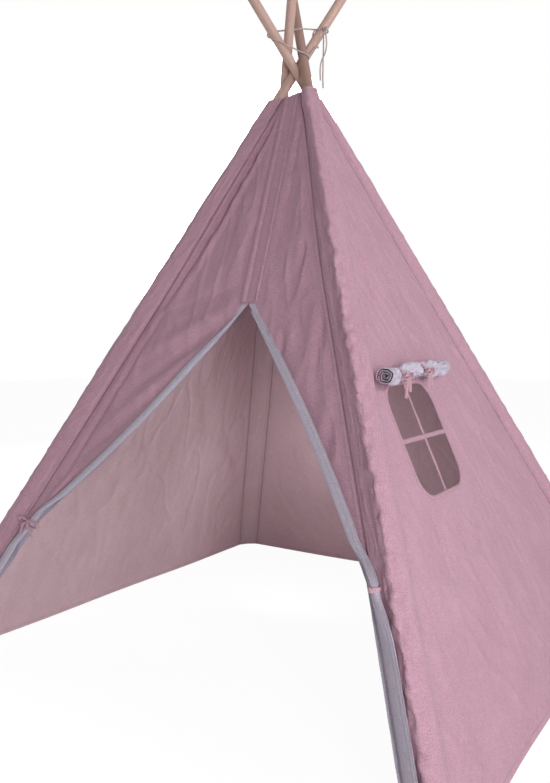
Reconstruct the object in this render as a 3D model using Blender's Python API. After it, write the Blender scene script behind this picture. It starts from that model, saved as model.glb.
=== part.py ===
"""A kids' play teepee. Four round poles lean together and cross above a fabric cover. The cover has a
sleeve round each pole, a door tied open at the front and a window with a rolled curtain on the right.
Metres, +Z up, the door faces -Y, and the origin is on the floor under the middle."""

import math

import bmesh
import bpy
from mathutils import Matrix, Vector

# Overall sizes
FOOT_HALF = 0.600
POLE_LENGTH = 1.860
FABRIC_TOP = 1.255
FOLD_BELOW_TOP = 0.015
FOLD_HEIGHT = FABRIC_TOP - FOLD_BELOW_TOP
GAP = 0.0003

# The poles: one opposite pair crosses lower, and the other pair crosses above it by what lets neighbours
# pass each other. A step is how far, along X and along Y, a pole's axis passes beside the middle.
POLE_RADIUS = 0.011
POLE_LOWER_LENGTH = 0.950
POLE_EDGE = 0.0016
POLE_SIDES = 20
LOW_CROSSING = 1.319
LOW_PAIR_CLEARANCE = 0.0012
HIGH_PAIR_CLEARANCE = 0.0091
NEIGHBOUR_CLEARANCE = 0.0010
LOW_STEP = (POLE_RADIUS + LOW_PAIR_CLEARANCE / 2) / math.sqrt(2)
HIGH_STEP = (POLE_RADIUS + HIGH_PAIR_CLEARANCE / 2) / math.sqrt(2)
NEIGHBOUR_PASS = (2 * POLE_RADIUS + NEIGHBOUR_CLEARANCE) * math.hypot(FOOT_HALF, LOW_CROSSING)
CROSSING_RISE = (NEIGHBOUR_PASS + (HIGH_STEP - LOW_STEP) * LOW_CROSSING) / (FOOT_HALF + LOW_STEP)
HIGH_CROSSING = LOW_CROSSING + CROSSING_RISE
FERRULE_LENGTH = 0.080
FERRULE_WALL = 0.0010
FERRULE_LIP = 0.0008
FERRULE_LIP_RUN = 0.0030

# The sleeves: how loosely they go round the poles, and how far past that the panels' seams run
SOLE = 0.002
SLEEVE_EASE = 0.012
SLEEVE_EASE_TOP = 0.0095
SLEEVE_REACH = POLE_RADIUS + SLEEVE_EASE
SLEEVE_REACH_TOP = POLE_RADIUS + SLEEVE_EASE_TOP
SEAM_MARGIN = 0.017
SEAM_MARGIN_TOP = 0.0015
SEAM_ALONG = SLEEVE_REACH + SEAM_MARGIN
SEAM_ALONG_TOP = SLEEVE_REACH_TOP + SEAM_MARGIN_TOP
SEAM_OUT = 0.003
SEAM_GAP = 0.0004
SLEEVE_TAPER_FROM = 0.800
SEAM_ANGLE = 135
SEAM_INDEX = 5
SLEEVE_ANGLES = (0, 30, 60, 90, 115, SEAM_ANGLE, 155, 180)
SLEEVE_BODY_SHARES = (1.00, 0.96, 0.95, 1.05, 1.32, 0, 1.06, 0.90)
SLEEVE_TOP_SHARES = (1.00, 0.97, 0.92, 0.92, 0.98, 0, 0.92, 0.86)
BORE_CLEARANCE = 0.0045
MOUTH_DEPTH = 0.045
MOUTH_SHARE = 0.84
RIPPLE = 0.0012
RIPPLE_LENGTH = 0.190
RIPPLE_TURN = 2.4

# The fabric panels
PANEL_THICKNESS = 0.002
HEM_THICKNESS = 0.003
HEM_HEIGHT = 0.022
TOP_HEM_HEIGHT = 0.013
HEM_STEP = 0.003
PANEL_COLUMNS = 8
ROWS_TO_TIE = 3
ROWS_TO_APEX = 7
ROWS_TO_TOP = 9
FOLD_DEPTH = 0.0060
FOLD_COUNT = 2
FOLD_FROM = 0.780
FOLD_FADE = 0.200
FOLD_END_FADE = 0.060
FLOOR_FOLD_DEPTH = 0.0045
FLOOR_FOLD_TO = 0.280

# The door
DOOR_APEX = 0.775
DOOR_APEX_X = 0.045
PLACKET_TOP_X = 0.016
PLACKET_WIDTH = 0.044
PLACKET_THICKNESS = 0.0015
TIE_HEIGHT = 0.320
FOLD_AT_FLOOR = {"left": 0.020, "right": 0.008}
FOLD_AT_TIE = {"left": 0.045, "right": 0.008}
FOLD_BOW = {"left": 0.024, "right": -0.014}
HALF_COLUMN_SHARES = (0, 0.20, 0.45, 0.70, 1)
FOLD_COLUMN_SHARE = 5 / 6

# The door flaps, rolled back outwards and tied
FLAP_HALF_WIDTH = 0.013
FLAP_HALF_DEPTH = 0.0048
FLAP_OVERHANG = 0.002
FLAP_CLEARANCE = 0.00055
FLAP_GATHER = 0.0080
FLAP_GATHER_RUN = 0.045
FLAP_TIP = 0.018
FLAP_TIP_HALF_WIDTH = 0.004
FLAP_TIP_HALF_DEPTH = 0.002
FLAP_TIP_RUN = 0.110
FLAP_FOOT = 0.006
FLAP_SIDES = 12
FLAP_SHIFT_RUN = 0.060
FLAP_AT_TIE = {"left": 0.0385, "right": -0.0150}
TAIL_AT_FLOOR = {"left": 0.0180, "right": -0.0150}
FLAP_ROWS_BELOW = 5
FLAP_ROWS_ABOVE = 11

# Ribbons
RIBBON_WIDTH = 0.007
RIBBON_THICKNESS = 0.0012
RIBBON_STEP = 0.004
KNOT_RADIUS = 0.0055
BOW_LOOP = 0.026
BOW_LOOP_HEIGHT = 0.009
BOW_TURNS = (-140, -100, -55, -15, 25, 65, 105, 140)
DOOR_TAIL = 0.038
CURTAIN_TAIL = 0.044
TAIL_SPREAD = 0.012
TAIL_SIDE_SHARES = (0.20, 0.45, 0.80, 1)
TAIL_OUT_SHARES = (0, 0.35, 0.42, 0.30)
TAIL_DROP_SHARES = (0, 0.12, 0.50, 1)

# The window and its curtain
WINDOW_Y = -0.150
WINDOW_Z = 0.512
WINDOW_WIDTH = 0.206
WINDOW_HEIGHT = 0.214
WINDOW_CORNER = 0.045
BINDING_WIDTH = 0.009
BINDING_THICKNESS = 0.0036
BAR_WIDTH = 0.009
BAR_THICKNESS = 0.0012
CORNER_STEPS = 6
CUT_OVERRUN = 0.020
CURTAIN_LENGTH = 0.335
CURTAIN_SHIFT = 0.022
CURTAIN_ABOVE = 0.021
CURTAIN_RADIUS = 0.0150
CURTAIN_TIED_RADIUS = 0.0125
CURTAIN_LAYER = 0.0026
CURTAIN_SPACE = 0.0012
CURTAIN_TURNS = 2.25
CURTAIN_TURN_POINTS = 12
CURTAIN_RISE = 0.0115
CURTAIN_RISE_RUN = 0.075
CURTAIN_TIE_PLACES = (-0.055, 0.062)
CURTAIN_TIE_RUN = 0.022
CURTAIN_KNOT_TURN = -25

# The cord that lashes the poles above the fabric
CORD_RADIUS = 0.00175
CORD_WRAP_GAP = 0.0010
CORD_SPACING = 0.0080
KNOT_POLE = "front_left"
KNOT_HEIGHT = 1.424
KNOT_ANGLE = 172
CORD_KNOT_RADIUS = 0.0052
# The cord's route round the poles: each stop is a pole, a height and an angle in degrees round the pole
CORD_ROUTE = (
    ("front_left", 1.4290, 136),
    ("front_left", 1.4300, 100),
    ("front_left", 1.4300, 60),
    ("front_left", 1.4290, 20),
    ("front_left", 1.4280, -22),
    ("front_right", 1.4200, 246),
    ("front_right", 1.4180, 260),
    ("back_right", 1.4080, 172),
    ("back_right", 1.4040, 132),
    ("back_right", 1.3980, 90),
    ("back_right", 1.3900, 50),
    ("back_right", 1.3790, 13),
    ("front_right", 1.3460, 282),
    ("front_right", 1.3430, 250),
    ("front_right", 1.3430, 216),
    ("front_right", 1.3450, 180),
    ("front_right", 1.3500, 150),
    ("front_left", 1.3850, 150),
    ("front_left", 1.3880, 128),
    ("front_left", 1.3930, 90),
    ("front_left", 1.3980, 45),
    ("front_left", 1.4030, 0),
    ("front_left", 1.4080, -45),
    ("front_left", 1.4130, -90),
    ("front_left", 1.4170, -125),
    ("front_left", 1.4190, -150),
)
# The free ends of the cord, from the knot down
LONG_TAIL = (
    (0.0530, 0.0415, 1.3900),
    (0.0520, 0.0410, 1.3500),
    (0.0505, 0.0415, 1.3100),
    (0.0520, 0.0400, 1.2850),
)
LONG_TAIL_LEAVES = (0.05, -0.30, -1)
SHORT_TAIL = (
    (0.0650, 0.0320, 1.4050),
    (0.0680, 0.0290, 1.3750),
    (0.0630, 0.0290, 1.3560),
    (0.0560, 0.0300, 1.3480),
    (0.0500, 0.0310, 1.3300),
    (0.0500, 0.0310, 1.3000),
)
SHORT_TAIL_LEAVES = (0.80, -0.60, -0.20)

FABRIC = (0.56, 0.36, 0.44)
LINING = (0.60, 0.52, 0.58)
WOOD = (0.70, 0.50, 0.38)
STEEL = (0.62, 0.62, 0.64)
CORD = (0.55, 0.46, 0.45)
RIBBON = (0.62, 0.42, 0.48)

CORNERS = {"front_left": (-1, -1), "front_right": (1, -1), "back_left": (-1, 1), "back_right": (1, 1)}
LOW_PAIR = ("front_left", "back_right")
UP = Vector((0, 0, 1))


def lerp(a, b, share):
    return a + (b - a) * share


def smoothstep(start, end, value):
    share = min(1, max(0, (value - start) / (end - start)))
    return share * share * (3 - 2 * share)


def clear_scene():
    for found in list(bpy.data.objects):
        bpy.data.objects.remove(found)


def material(name, colour, roughness, metallic=0):
    made = bpy.data.materials.get(name)
    if made is None:
        made = bpy.data.materials.new(name)
        made.use_nodes = True
        shader = made.node_tree.nodes["Principled BSDF"]
        shader.inputs["Base Color"].default_value = (*colour, 1)
        shader.inputs["Roughness"].default_value = roughness
        shader.inputs["Metallic"].default_value = metallic
    return made


def place(made, origin, parent):
    """Puts an object's origin at a point of the world, under its parent."""
    made.location = origin - (parent.location if parent else Vector((0, 0, 0)))
    made.parent = parent
    bpy.context.scene.collection.objects.link(made)
    return made


def solid(name, points, faces, finish, smooth=False, parent=None):
    """One object from points and faces in world places, with its normals turned out."""
    mesh = bpy.data.meshes.new(name)
    origin = parent.location if parent else Vector((0, 0, 0))
    mesh.from_pydata([tuple(Vector(point) - origin) for point in points], [], faces)
    work = bmesh.new()
    work.from_mesh(mesh)
    bmesh.ops.recalc_face_normals(work, faces=work.faces)
    work.to_mesh(mesh)
    work.free()
    if smooth:
        mesh.shade_smooth()
        mesh.set_sharp_from_angle(angle=math.radians(50))
    mesh.materials.append(finish)
    return place(bpy.data.objects.new(name, mesh), origin, parent)


def boolean(target, helper, operation):
    helper.hide_render = True
    helper.display_type = "WIRE"
    modifier = target.modifiers.new(helper.name, "BOOLEAN")
    modifier.operation = operation
    modifier.solver = "EXACT"
    modifier.object = helper


def loft(rings, closed_ends=True):
    """Points and faces through rings that have the same number of points."""
    count = len(rings[0])
    points = [point for ring in rings for point in ring]
    faces = []
    for row in range(len(rings) - 1):
        for i in range(count):
            j = (i + 1) % count
            faces.append((row * count + i, row * count + j, (row + 1) * count + j, (row + 1) * count + i))
    last = (len(rings) - 1) * count
    if closed_ends:
        faces.append(tuple(range(count)))
        faces.append(tuple(last + i for i in range(count)))
    return points, faces


def loft_round(rings):
    """The same, with the last ring joined back to the first, as on a tube with a wall."""
    points, faces = loft(rings, closed_ends=False)
    count = len(rings[0])
    last = (len(rings) - 1) * count
    for i in range(count):
        j = (i + 1) % count
        faces.append((last + i, last + j, j, i))
    return points, faces


# Where the poles run


def foot_of(corner):
    side_x, side_y = CORNERS[corner]
    return Vector((side_x * FOOT_HALF, side_y * FOOT_HALF, 0))


def crossing_of(corner):
    side_x, side_y = CORNERS[corner]
    low = corner in LOW_PAIR
    step = LOW_STEP if low else HIGH_STEP
    return Vector((side_x * step, -side_y * step, LOW_CROSSING if low else HIGH_CROSSING))


def axis_at(corner, height):
    """The point of the pole's axis at this height."""
    crossing = crossing_of(corner)
    return foot_of(corner).lerp(crossing, height / crossing.z)


def pole_frame(corner):
    """The pole's direction, the level direction across it, and the direction that looks down from it."""
    along = (crossing_of(corner) - foot_of(corner)).normalized()
    level = math.hypot(along.x, along.y)
    lean = Vector((along.x, along.y, 0)) / level
    return along, UP.cross(lean), lean * along.z - UP * level


def pole_point(corner, distance):
    """The axis at this distance from the pole's lower end, whose edge stands just off the sleeve's sole."""
    along = pole_frame(corner)[0]
    end_height = SOLE + GAP + (POLE_RADIUS - POLE_EDGE) * math.hypot(along.x, along.y)
    return axis_at(corner, end_height) + along * distance


def neighbours(corner):
    """The corners at the other end of the front or back panel, and of the side panel."""
    side_x, side_y = CORNERS[corner]
    found = {sides: name for name, sides in CORNERS.items()}
    return found[-side_x, side_y], found[side_x, -side_y]


def panel_directions(corner, height):
    """From this pole to its two neighbours at this height."""
    middle = axis_at(corner, height)
    return [(axis_at(other, height) - middle).normalized() for other in neighbours(corner)]


# Poles and the ferrules that join their sections


def turned_rings(corner, profile):
    """Rings about the pole's axis. The profile is (radius, distance from the pole's lower end)."""
    _, across, under = pole_frame(corner)
    turns = [2 * math.pi * i / POLE_SIDES for i in range(POLE_SIDES)]
    spokes = [across * math.cos(turn) + under * math.sin(turn) for turn in turns]
    return [
        [pole_point(corner, distance) + spoke * radius for spoke in spokes]
        for radius, distance in profile
    ]


def pole_section(corner, part, start, end, hinge):
    profile = (
        (POLE_RADIUS - POLE_EDGE, start),
        (POLE_RADIUS, start + POLE_EDGE),
        (POLE_RADIUS, end - POLE_EDGE),
        (POLE_RADIUS - POLE_EDGE, end),
    )
    rings = turned_rings(corner, profile)
    solid(f"pole_{corner}_{part}", *loft(rings), material("wood", WOOD, 0.55), smooth=True, parent=hinge)


def ferrule(corner, hinge):
    """A drawn tube over the joint of the two pole sections, flared a little at each end."""
    bore = POLE_RADIUS + GAP
    wall = bore + FERRULE_WALL
    start = POLE_LOWER_LENGTH - FERRULE_LENGTH / 2
    end = start + FERRULE_LENGTH
    profile = (
        (bore, start),
        (wall + FERRULE_LIP, start),
        (wall, start + FERRULE_LIP_RUN),
        (wall, end - FERRULE_LIP_RUN),
        (wall + FERRULE_LIP, end),
        (bore, end),
    )
    tube_wall = loft_round(turned_rings(corner, profile))
    solid(f"ferrule_{corner}", *tube_wall, material("steel", STEEL, 0.35, 1), smooth=True, parent=hinge)


# Sleeves


def row_heights():
    """The heights at which sleeves and panels have a row of points, so that their seams run together."""
    heights = [0, HEM_HEIGHT, HEM_HEIGHT + HEM_STEP]
    heights += [lerp(HEM_HEIGHT, TIE_HEIGHT, row / ROWS_TO_TIE) for row in range(1, ROWS_TO_TIE)]
    heights += [lerp(TIE_HEIGHT, DOOR_APEX, row / ROWS_TO_APEX) for row in range(ROWS_TO_APEX)]
    upper_end = FABRIC_TOP - TOP_HEM_HEIGHT - HEM_STEP
    heights += [lerp(DOOR_APEX, upper_end, row / ROWS_TO_TOP) for row in range(ROWS_TO_TOP + 1)]
    heights += [FABRIC_TOP - TOP_HEM_HEIGHT, FABRIC_TOP]
    return heights


ROWS = row_heights()


def fullness(height):
    """1 where the sleeve is wide, 0 at its mouth."""
    return 1 - smoothstep(SLEEVE_TAPER_FROM, FABRIC_TOP, height)


def seam_point(corner, height, panel):
    """Where a panel is sewn to the sleeve. panel is 0 for the front or back one and 1 for the side one."""
    directions = panel_directions(corner, height)
    along, other = directions[panel], directions[1 - panel]
    inward = (other - along * other.dot(along)).normalized()
    reach = lerp(SEAM_ALONG_TOP, SEAM_ALONG, fullness(height))
    return axis_at(corner, height) + along * reach - inward * SEAM_OUT


def ripple(height, turn, corner):
    """The soft wrinkles of the loose sleeve, none at the floor and the mouth."""
    fade_in = smoothstep(0, RIPPLE_LENGTH, height)
    fade_out = 1 - smoothstep(FABRIC_TOP - RIPPLE_LENGTH, FABRIC_TOP, height)
    phase = RIPPLE_TURN * (turn + list(CORNERS).index(corner))
    return RIPPLE * fade_in * fade_out * math.sin(2 * math.pi * height / RIPPLE_LENGTH + phase)


def sleeve_half(corner, height, panel):
    """Half of the sleeve's outline, from its outer side past one panel's seam to its inner side."""
    directions = panel_directions(corner, height)
    outward = -(directions[0] + directions[1]).normalized()
    sideways = (directions[panel] - directions[1 - panel]).normalized()
    seam_turn = math.degrees(math.acos(outward.dot(directions[panel])))
    half = []
    for index, angle in enumerate(SLEEVE_ANGLES):
        if index == SEAM_INDEX:
            half.append(seam_point(corner, height, panel))
            continue
        if angle < SEAM_ANGLE:
            turn = math.radians(angle * seam_turn / SEAM_ANGLE)
        else:
            turn = math.radians(180 - (180 - angle) * (180 - seam_turn) / (180 - SEAM_ANGLE))
        body = SLEEVE_REACH * SLEEVE_BODY_SHARES[index]
        top = SLEEVE_REACH_TOP * SLEEVE_TOP_SHARES[index]
        reach = lerp(top, body, fullness(height)) + ripple(height, turn * (1 - 2 * panel), corner)
        half.append(axis_at(corner, height) + (outward * math.cos(turn) + sideways * math.sin(turn)) * reach)
    return half


def sleeve_outline(corner, height):
    first, second = (sleeve_half(corner, height, panel) for panel in (0, 1))
    return first + second[-2:0:-1]


def bore_outline(corner, height):
    """An ellipse that clears the pole, with a point beside each point of the sleeve's outline."""
    along = pole_frame(corner)[0]
    lean = Vector((along.x, along.y, 0)).normalized()
    across = POLE_RADIUS + BORE_CLEARANCE
    middle = axis_at(corner, height)
    outline = []
    for point in sleeve_outline(corner, height):
        towards = (point - middle).normalized()
        share = towards.dot(lean)
        reach = across / math.sqrt(1 - share * share * (1 - along.z * along.z))
        outline.append(middle + towards * reach)
    return outline


def sleeve(corner, hinge):
    outer = [sleeve_outline(corner, height) for height in ROWS]
    middle = axis_at(corner, FABRIC_TOP)
    mouth = [middle.lerp(point, MOUTH_SHARE) for point in outer[-1]]
    inner = [mouth, bore_outline(corner, FABRIC_TOP - MOUTH_DEPTH), bore_outline(corner, SOLE)]
    cloth = material("fabric", FABRIC, 0.9)
    solid(f"sleeve_{corner}", *loft(outer + inner), cloth, smooth=True, parent=hinge)


# Panels


def half_thickness(height):
    hem = height <= HEM_HEIGHT or height >= FABRIC_TOP - TOP_HEM_HEIGHT
    return (HEM_THICKNESS if hem else PANEL_THICKNESS) / 2


def placket_x(height):
    """Where the seam down the front's middle runs."""
    return lerp(DOOR_APEX_X, PLACKET_TOP_X, (height - DOOR_APEX) / (FABRIC_TOP - DOOR_APEX))


class Panel:
    """One side of the cover, between two corners."""

    def __init__(self, first, second, kind):
        self.first, self.second, self.kind = first, second, kind

    def row(self, height):
        """The sewn edges at this height, the direction between them, and the inward direction."""
        start = seam_point(self.first, height, self.kind)
        end = seam_point(self.second, height, self.kind)
        along = (end - start).normalized()
        inward = UP.cross(along)
        if inward.dot(start) > 0:
            inward = -inward
        return start + along * SEAM_GAP, end - along * SEAM_GAP, along, inward

    def width(self, height):
        start, end, _, _ = self.row(height)
        return (end - start).length

    def relief(self, distance, height):
        """How far the fabric dips inwards: long folds below the top, and soft ones that end on the floor."""
        wave = (1 - math.cos(2 * math.pi * FOLD_COUNT * distance / self.width(height))) / 2
        upper = smoothstep(FOLD_FROM, FOLD_FROM + FOLD_FADE, height)
        upper *= 1 - smoothstep(FABRIC_TOP - FOLD_FADE, FABRIC_TOP - FOLD_END_FADE, height)
        if self is FRONT:
            beside = abs(distance - placket_distance(height)) - PLACKET_WIDTH / 2
            wave *= smoothstep(0, PLACKET_WIDTH / 2, beside)
            return wave * FOLD_DEPTH * upper
        lower = 1 - smoothstep(HEM_HEIGHT, FLOOR_FOLD_TO, height)
        return wave * (FOLD_DEPTH * upper + FLOOR_FOLD_DEPTH * lower)

    def point(self, height, distance, lift=0):
        """The fabric's middle at a distance from the first edge, lifted outwards."""
        start, _, along, inward = self.row(height)
        return start + along * distance + inward * (self.relief(distance, height) - lift)

    def sheet(self, name, rows):
        """A closed sheet of fabric. A row is a height, a half thickness, the distances across and a lift."""
        outer, inner = [], []
        for height, half, distances, lift in rows:
            inward = self.row(height)[3]
            middle = [self.point(height, distance, lift) for distance in distances]
            outer += [point - inward * half for point in middle]
            inner += [point + inward * half for point in middle]
        columns = len(rows[0][2])
        layer = len(outer)
        faces = []
        for row in range(len(rows) - 1):
            for column in range(columns - 1):
                a = row * columns + column
                b = a + columns
                faces += [(a, a + 1, b + 1), (a, b + 1, b)]
                faces += [(layer + a, layer + b + 1, layer + a + 1), (layer + a, layer + b, layer + b + 1)]
            for edge in (row * columns, row * columns + columns - 1):
                faces.append((edge, edge + columns, layer + edge + columns, layer + edge))
        for end in (0, layer - columns):
            for column in range(end, end + columns - 1):
                faces.append((column, column + 1, layer + column + 1, layer + column))
        return solid(name, outer + inner, faces, material("fabric", FABRIC, 0.9), smooth=True)


FRONT = Panel("front_left", "front_right", 0)
BACK = Panel("back_left", "back_right", 0)
LEFT = Panel("front_left", "back_left", 1)
RIGHT = Panel("front_right", "back_right", 1)


def plain_panel(name, panel):
    rows = []
    for height in ROWS:
        distances = [panel.width(height) * column / PANEL_COLUMNS for column in range(PANEL_COLUMNS + 1)]
        rows.append((height, half_thickness(height), distances, 0))
    return panel.sheet(name, rows)


def placket_distance(height):
    """From the front panel's left edge to the seam down its middle."""
    start, _, along, _ = FRONT.row(height)
    return (placket_x(height) - start.x) / along.x


def half_width(side, height):
    """How wide a front half is here: to the middle seam above the door, to the fold beside it."""
    if height >= DOOR_APEX:
        middle = placket_distance(height)
        return (middle if side == "left" else FRONT.width(height) - middle) - GAP / 2
    if height <= TIE_HEIGHT:
        return lerp(FOLD_AT_FLOOR[side], FOLD_AT_TIE[side], height / TIE_HEIGHT)
    share = (height - TIE_HEIGHT) / (DOOR_APEX - TIE_HEIGHT)
    straight = lerp(FOLD_AT_TIE[side], half_width(side, DOOR_APEX), share)
    return straight + FOLD_BOW[side] * math.sin(math.pi * share)


def front_half(side):
    rows = []
    for height in ROWS:
        width = half_width(side, height)
        inner = width - min(PLACKET_WIDTH / 2, width * FOLD_COLUMN_SHARE)
        distances = [inner * share for share in HALF_COLUMN_SHARES] + [width]
        if side == "right":
            distances = [FRONT.width(height) - distance for distance in reversed(distances)]
        rows.append((height, half_thickness(height), distances, 0))
    FRONT.sheet(f"front_panel_{side}", rows)


def placket_band():
    """The folded band that covers the middle seam, down to the top of the door."""
    half = PLACKET_THICKNESS / 2
    rows = []
    for height in (row for row in ROWS if row >= DOOR_APEX):
        middle = placket_distance(height)
        lift = half_thickness(height) + GAP + half
        distances = (middle - PLACKET_WIDTH / 2, middle, middle + PLACKET_WIDTH / 2)
        rows.append((height, half, distances, lift))
    FRONT.sheet("placket_band", rows)


# Door flaps, each rolled up, tied back and lying on the panel and the sleeve beside it


def flap_surface(side, height, distance):
    """How far out the panel and the sleeve reach at a distance from the seam, between the rows as at them."""
    if distance >= 0:
        return max(half_thickness(height), HEM_THICKNESS / 2 if height < HEM_HEIGHT + HEM_STEP else 0)
    below = max(row for row in ROWS if row <= height)
    above = min(row for row in ROWS if row > height)
    corner = f"front_{side}"
    outline = [
        low.lerp(high, (height - below) / (above - below))
        for low, high in zip(sleeve_half(corner, below, 0), sleeve_half(corner, above, 0))
    ]
    directions = panel_directions(corner, height)
    along = directions[0]
    inward = (directions[1] - along * directions[1].dot(along)).normalized()
    seam = outline[SEAM_INDEX]
    flat = [((point - seam).dot(along), -(point - seam).dot(inward)) for point in outline[: SEAM_INDEX + 1]]
    for (outer_x, outer_y), (inner_x, inner_y) in zip(flat, flat[1:]):
        if outer_x <= distance <= inner_x:
            return lerp(outer_y, inner_y, (distance - outer_x) / (inner_x - outer_x))
    return flat[0][1]


def flap_section(side, height):
    """The rolled flap here: how far its middle lies from the seam, its half width and its half depth."""
    gather = math.exp(-(((height - TIE_HEIGHT) / FLAP_GATHER_RUN) ** 2))
    tip = smoothstep(DOOR_APEX - FLAP_TIP, DOOR_APEX - FLAP_TIP - FLAP_TIP_RUN, height)
    width = lerp(FLAP_TIP_HALF_WIDTH, lerp(FLAP_HALF_WIDTH, FLAP_GATHER, gather), tip)
    depth = lerp(FLAP_TIP_HALF_DEPTH, lerp(FLAP_HALF_DEPTH, FLAP_GATHER, gather), tip)
    if height > TIE_HEIGHT:
        at_fold = half_width(side, height) + FLAP_OVERHANG - width
        middle = lerp(FLAP_AT_TIE[side], at_fold, smoothstep(TIE_HEIGHT, TIE_HEIGHT + FLAP_SHIFT_RUN, height))
    else:
        shift = smoothstep(TIE_HEIGHT - FLAP_SHIFT_RUN, TIE_HEIGHT, height)
        middle = lerp(TAIL_AT_FLOOR[side], FLAP_AT_TIE[side], shift)
    return middle, width, depth, gather


def flap_ring(side, height, grow=0):
    """The flap's section as a ring of points that rests on what lies under it, grown all round."""
    middle, width, depth, gather = flap_section(side, height)
    low = flap_surface(side, height, middle - width / 2)
    high = flap_surface(side, height, middle + width / 2)
    tilt = math.atan2(high - low, width)
    turns = [2 * math.pi * i / FLAP_SIDES for i in range(FLAP_SIDES)]

    def outline(extra):
        points = []
        for turn in turns:
            x, y = (width + extra) * math.cos(turn), (depth + extra) * math.sin(turn)
            across = middle + x * math.cos(tilt) - y * math.sin(tilt)
            points.append((across, x * math.sin(tilt) + y * math.cos(tilt)))
        return points

    lift = max(flap_surface(side, height, x) - y for x, y in outline(0)) + FLAP_CLEARANCE
    lift += (RIBBON_THICKNESS + 2 * GAP) * gather
    start, end, along, inward = FRONT.row(height)
    seam = start if side == "left" else end
    direction = along if side == "left" else -along
    return [seam + direction * x - inward * (y + lift) for x, y in outline(grow)]


def flap_heights():
    tie_low = TIE_HEIGHT - RIBBON_WIDTH / 2
    tie_high = TIE_HEIGHT + RIBBON_WIDTH / 2
    heights = [lerp(FLAP_FOOT, tie_low, row / FLAP_ROWS_BELOW) for row in range(FLAP_ROWS_BELOW + 1)]
    heights += [TIE_HEIGHT]
    tip = DOOR_APEX - FLAP_TIP
    heights += [lerp(tie_high, tip, row / FLAP_ROWS_ABOVE) for row in range(FLAP_ROWS_ABOVE + 1)]
    return heights


def door_flap(side):
    rings = [flap_ring(side, height) for height in flap_heights()]
    solid(f"door_flap_{side}", *loft(rings), material("lining", LINING, 0.9), smooth=True)


# Ribbons, knots and bows


def ribbon(name, route, wide, finish):
    """A flat ribbon along a smooth route. wide is the direction across its width."""
    path = smooth_path(route, RIBBON_STEP)
    rings = []
    for index, point in enumerate(path):
        before = path[max(0, index - 1)]
        after = path[min(len(path) - 1, index + 1)]
        thin = (after - before).cross(wide).normalized() * RIBBON_THICKNESS / 2
        half = wide.normalized() * RIBBON_WIDTH / 2
        rings.append([point - half - thin, point + half - thin, point + half + thin, point - half + thin])
    return solid(name, *loft(rings), finish)


def lump(name, middle, radius, finish):
    mesh = bpy.data.meshes.new(name)
    work = bmesh.new()
    bmesh.ops.create_uvsphere(work, u_segments=12, v_segments=8, radius=radius, matrix=Matrix.Identity(4))
    work.to_mesh(mesh)
    work.free()
    mesh.materials.append(finish)
    return place(bpy.data.objects.new(name, mesh), middle, None)


def hang(knot, sideways, outward, length):
    """A ribbon's tail: out of the knot, over and down."""
    return [
        knot + (sideways * side + outward * out) * TAIL_SPREAD - UP * length * drop
        for side, out, drop in zip(TAIL_SIDE_SHARES, TAIL_OUT_SHARES, TAIL_DROP_SHARES)
    ]


def bow_loop(knot, sideways, outward):
    """One loop of a bow, out of the knot and back into it."""
    return [
        knot
        + sideways * BOW_LOOP * (1 + math.cos(math.radians(turn))) / 2
        + UP * BOW_LOOP_HEIGHT * math.sin(math.radians(turn)) / 2
        + outward * KNOT_RADIUS / 3
        for turn in BOW_TURNS
    ]


def door_tie(side):
    """The ribbon round the gathered flap. The left one ends in a bow."""
    finish = material("ribbon", RIBBON, 0.7)
    name = f"door_tie_{side}"
    heights = (TIE_HEIGHT - RIBBON_WIDTH / 2, TIE_HEIGHT, TIE_HEIGHT + RIBBON_WIDTH / 2)
    outer = [flap_ring(side, height, GAP + RIBBON_THICKNESS) for height in heights]
    inner = [flap_ring(side, height, GAP) for height in heights]
    tie = solid(name, *loft_round(outer + inner[::-1]), finish)
    ring = flap_ring(side, TIE_HEIGHT)
    middle = sum(ring, Vector((0, 0, 0))) / len(ring)
    floor_edge, _, _, _ = FRONT.row(0)
    edge, _, along, inward = FRONT.row(TIE_HEIGHT)
    upright_share = TIE_HEIGHT / math.hypot(TIE_HEIGHT, (edge - floor_edge).dot(inward))
    knot = middle - inward * (flap_section(side, TIE_HEIGHT)[2] + (GAP + KNOT_RADIUS) / upright_share)
    boolean(tie, lump(f"{name}_knot", knot, KNOT_RADIUS, finish), "UNION")
    if side == "right":
        return
    for word, sideways in (("inner", along), ("outer", -along)):
        loop = ribbon(f"{name}_loop_{word}", bow_loop(knot, sideways, -inward), inward, finish)
        boolean(tie, loop, "UNION")
        tail = ribbon(f"{name}_tail_{word}", hang(knot, sideways, -inward, DOOR_TAIL), along, finish)
        boolean(tie, tail, "UNION")


# The window


def window_frame():
    """The window's middle on the right panel, and its directions: along the panel, up its slope, outwards."""
    start, _, along, _ = RIGHT.row(WINDOW_Z)
    middle = RIGHT.point(WINDOW_Z, (WINDOW_Y - start.y) / along.y)
    above_z = WINDOW_Z + WINDOW_HEIGHT / 2
    start, _, along_above, _ = RIGHT.row(above_z)
    above = RIGHT.point(above_z, (WINDOW_Y - start.y) / along_above.y)
    up = (above - middle).normalized()
    return middle, along, up, along.cross(up).normalized()


def rounded_outline(half_across, half_up, corner):
    """A rounded rectangle as (across, up) points."""
    outline = []
    for quarter, (sign_x, sign_y) in enumerate(((1, 1), (-1, 1), (-1, -1), (1, -1))):
        for step in range(CORNER_STEPS + 1):
            angle = math.pi / 2 * (quarter + step / CORNER_STEPS)
            x = sign_x * (half_across - corner) + corner * math.cos(angle)
            y = sign_y * (half_up - corner) + corner * math.sin(angle)
            outline.append((x, y))
    return outline


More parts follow.
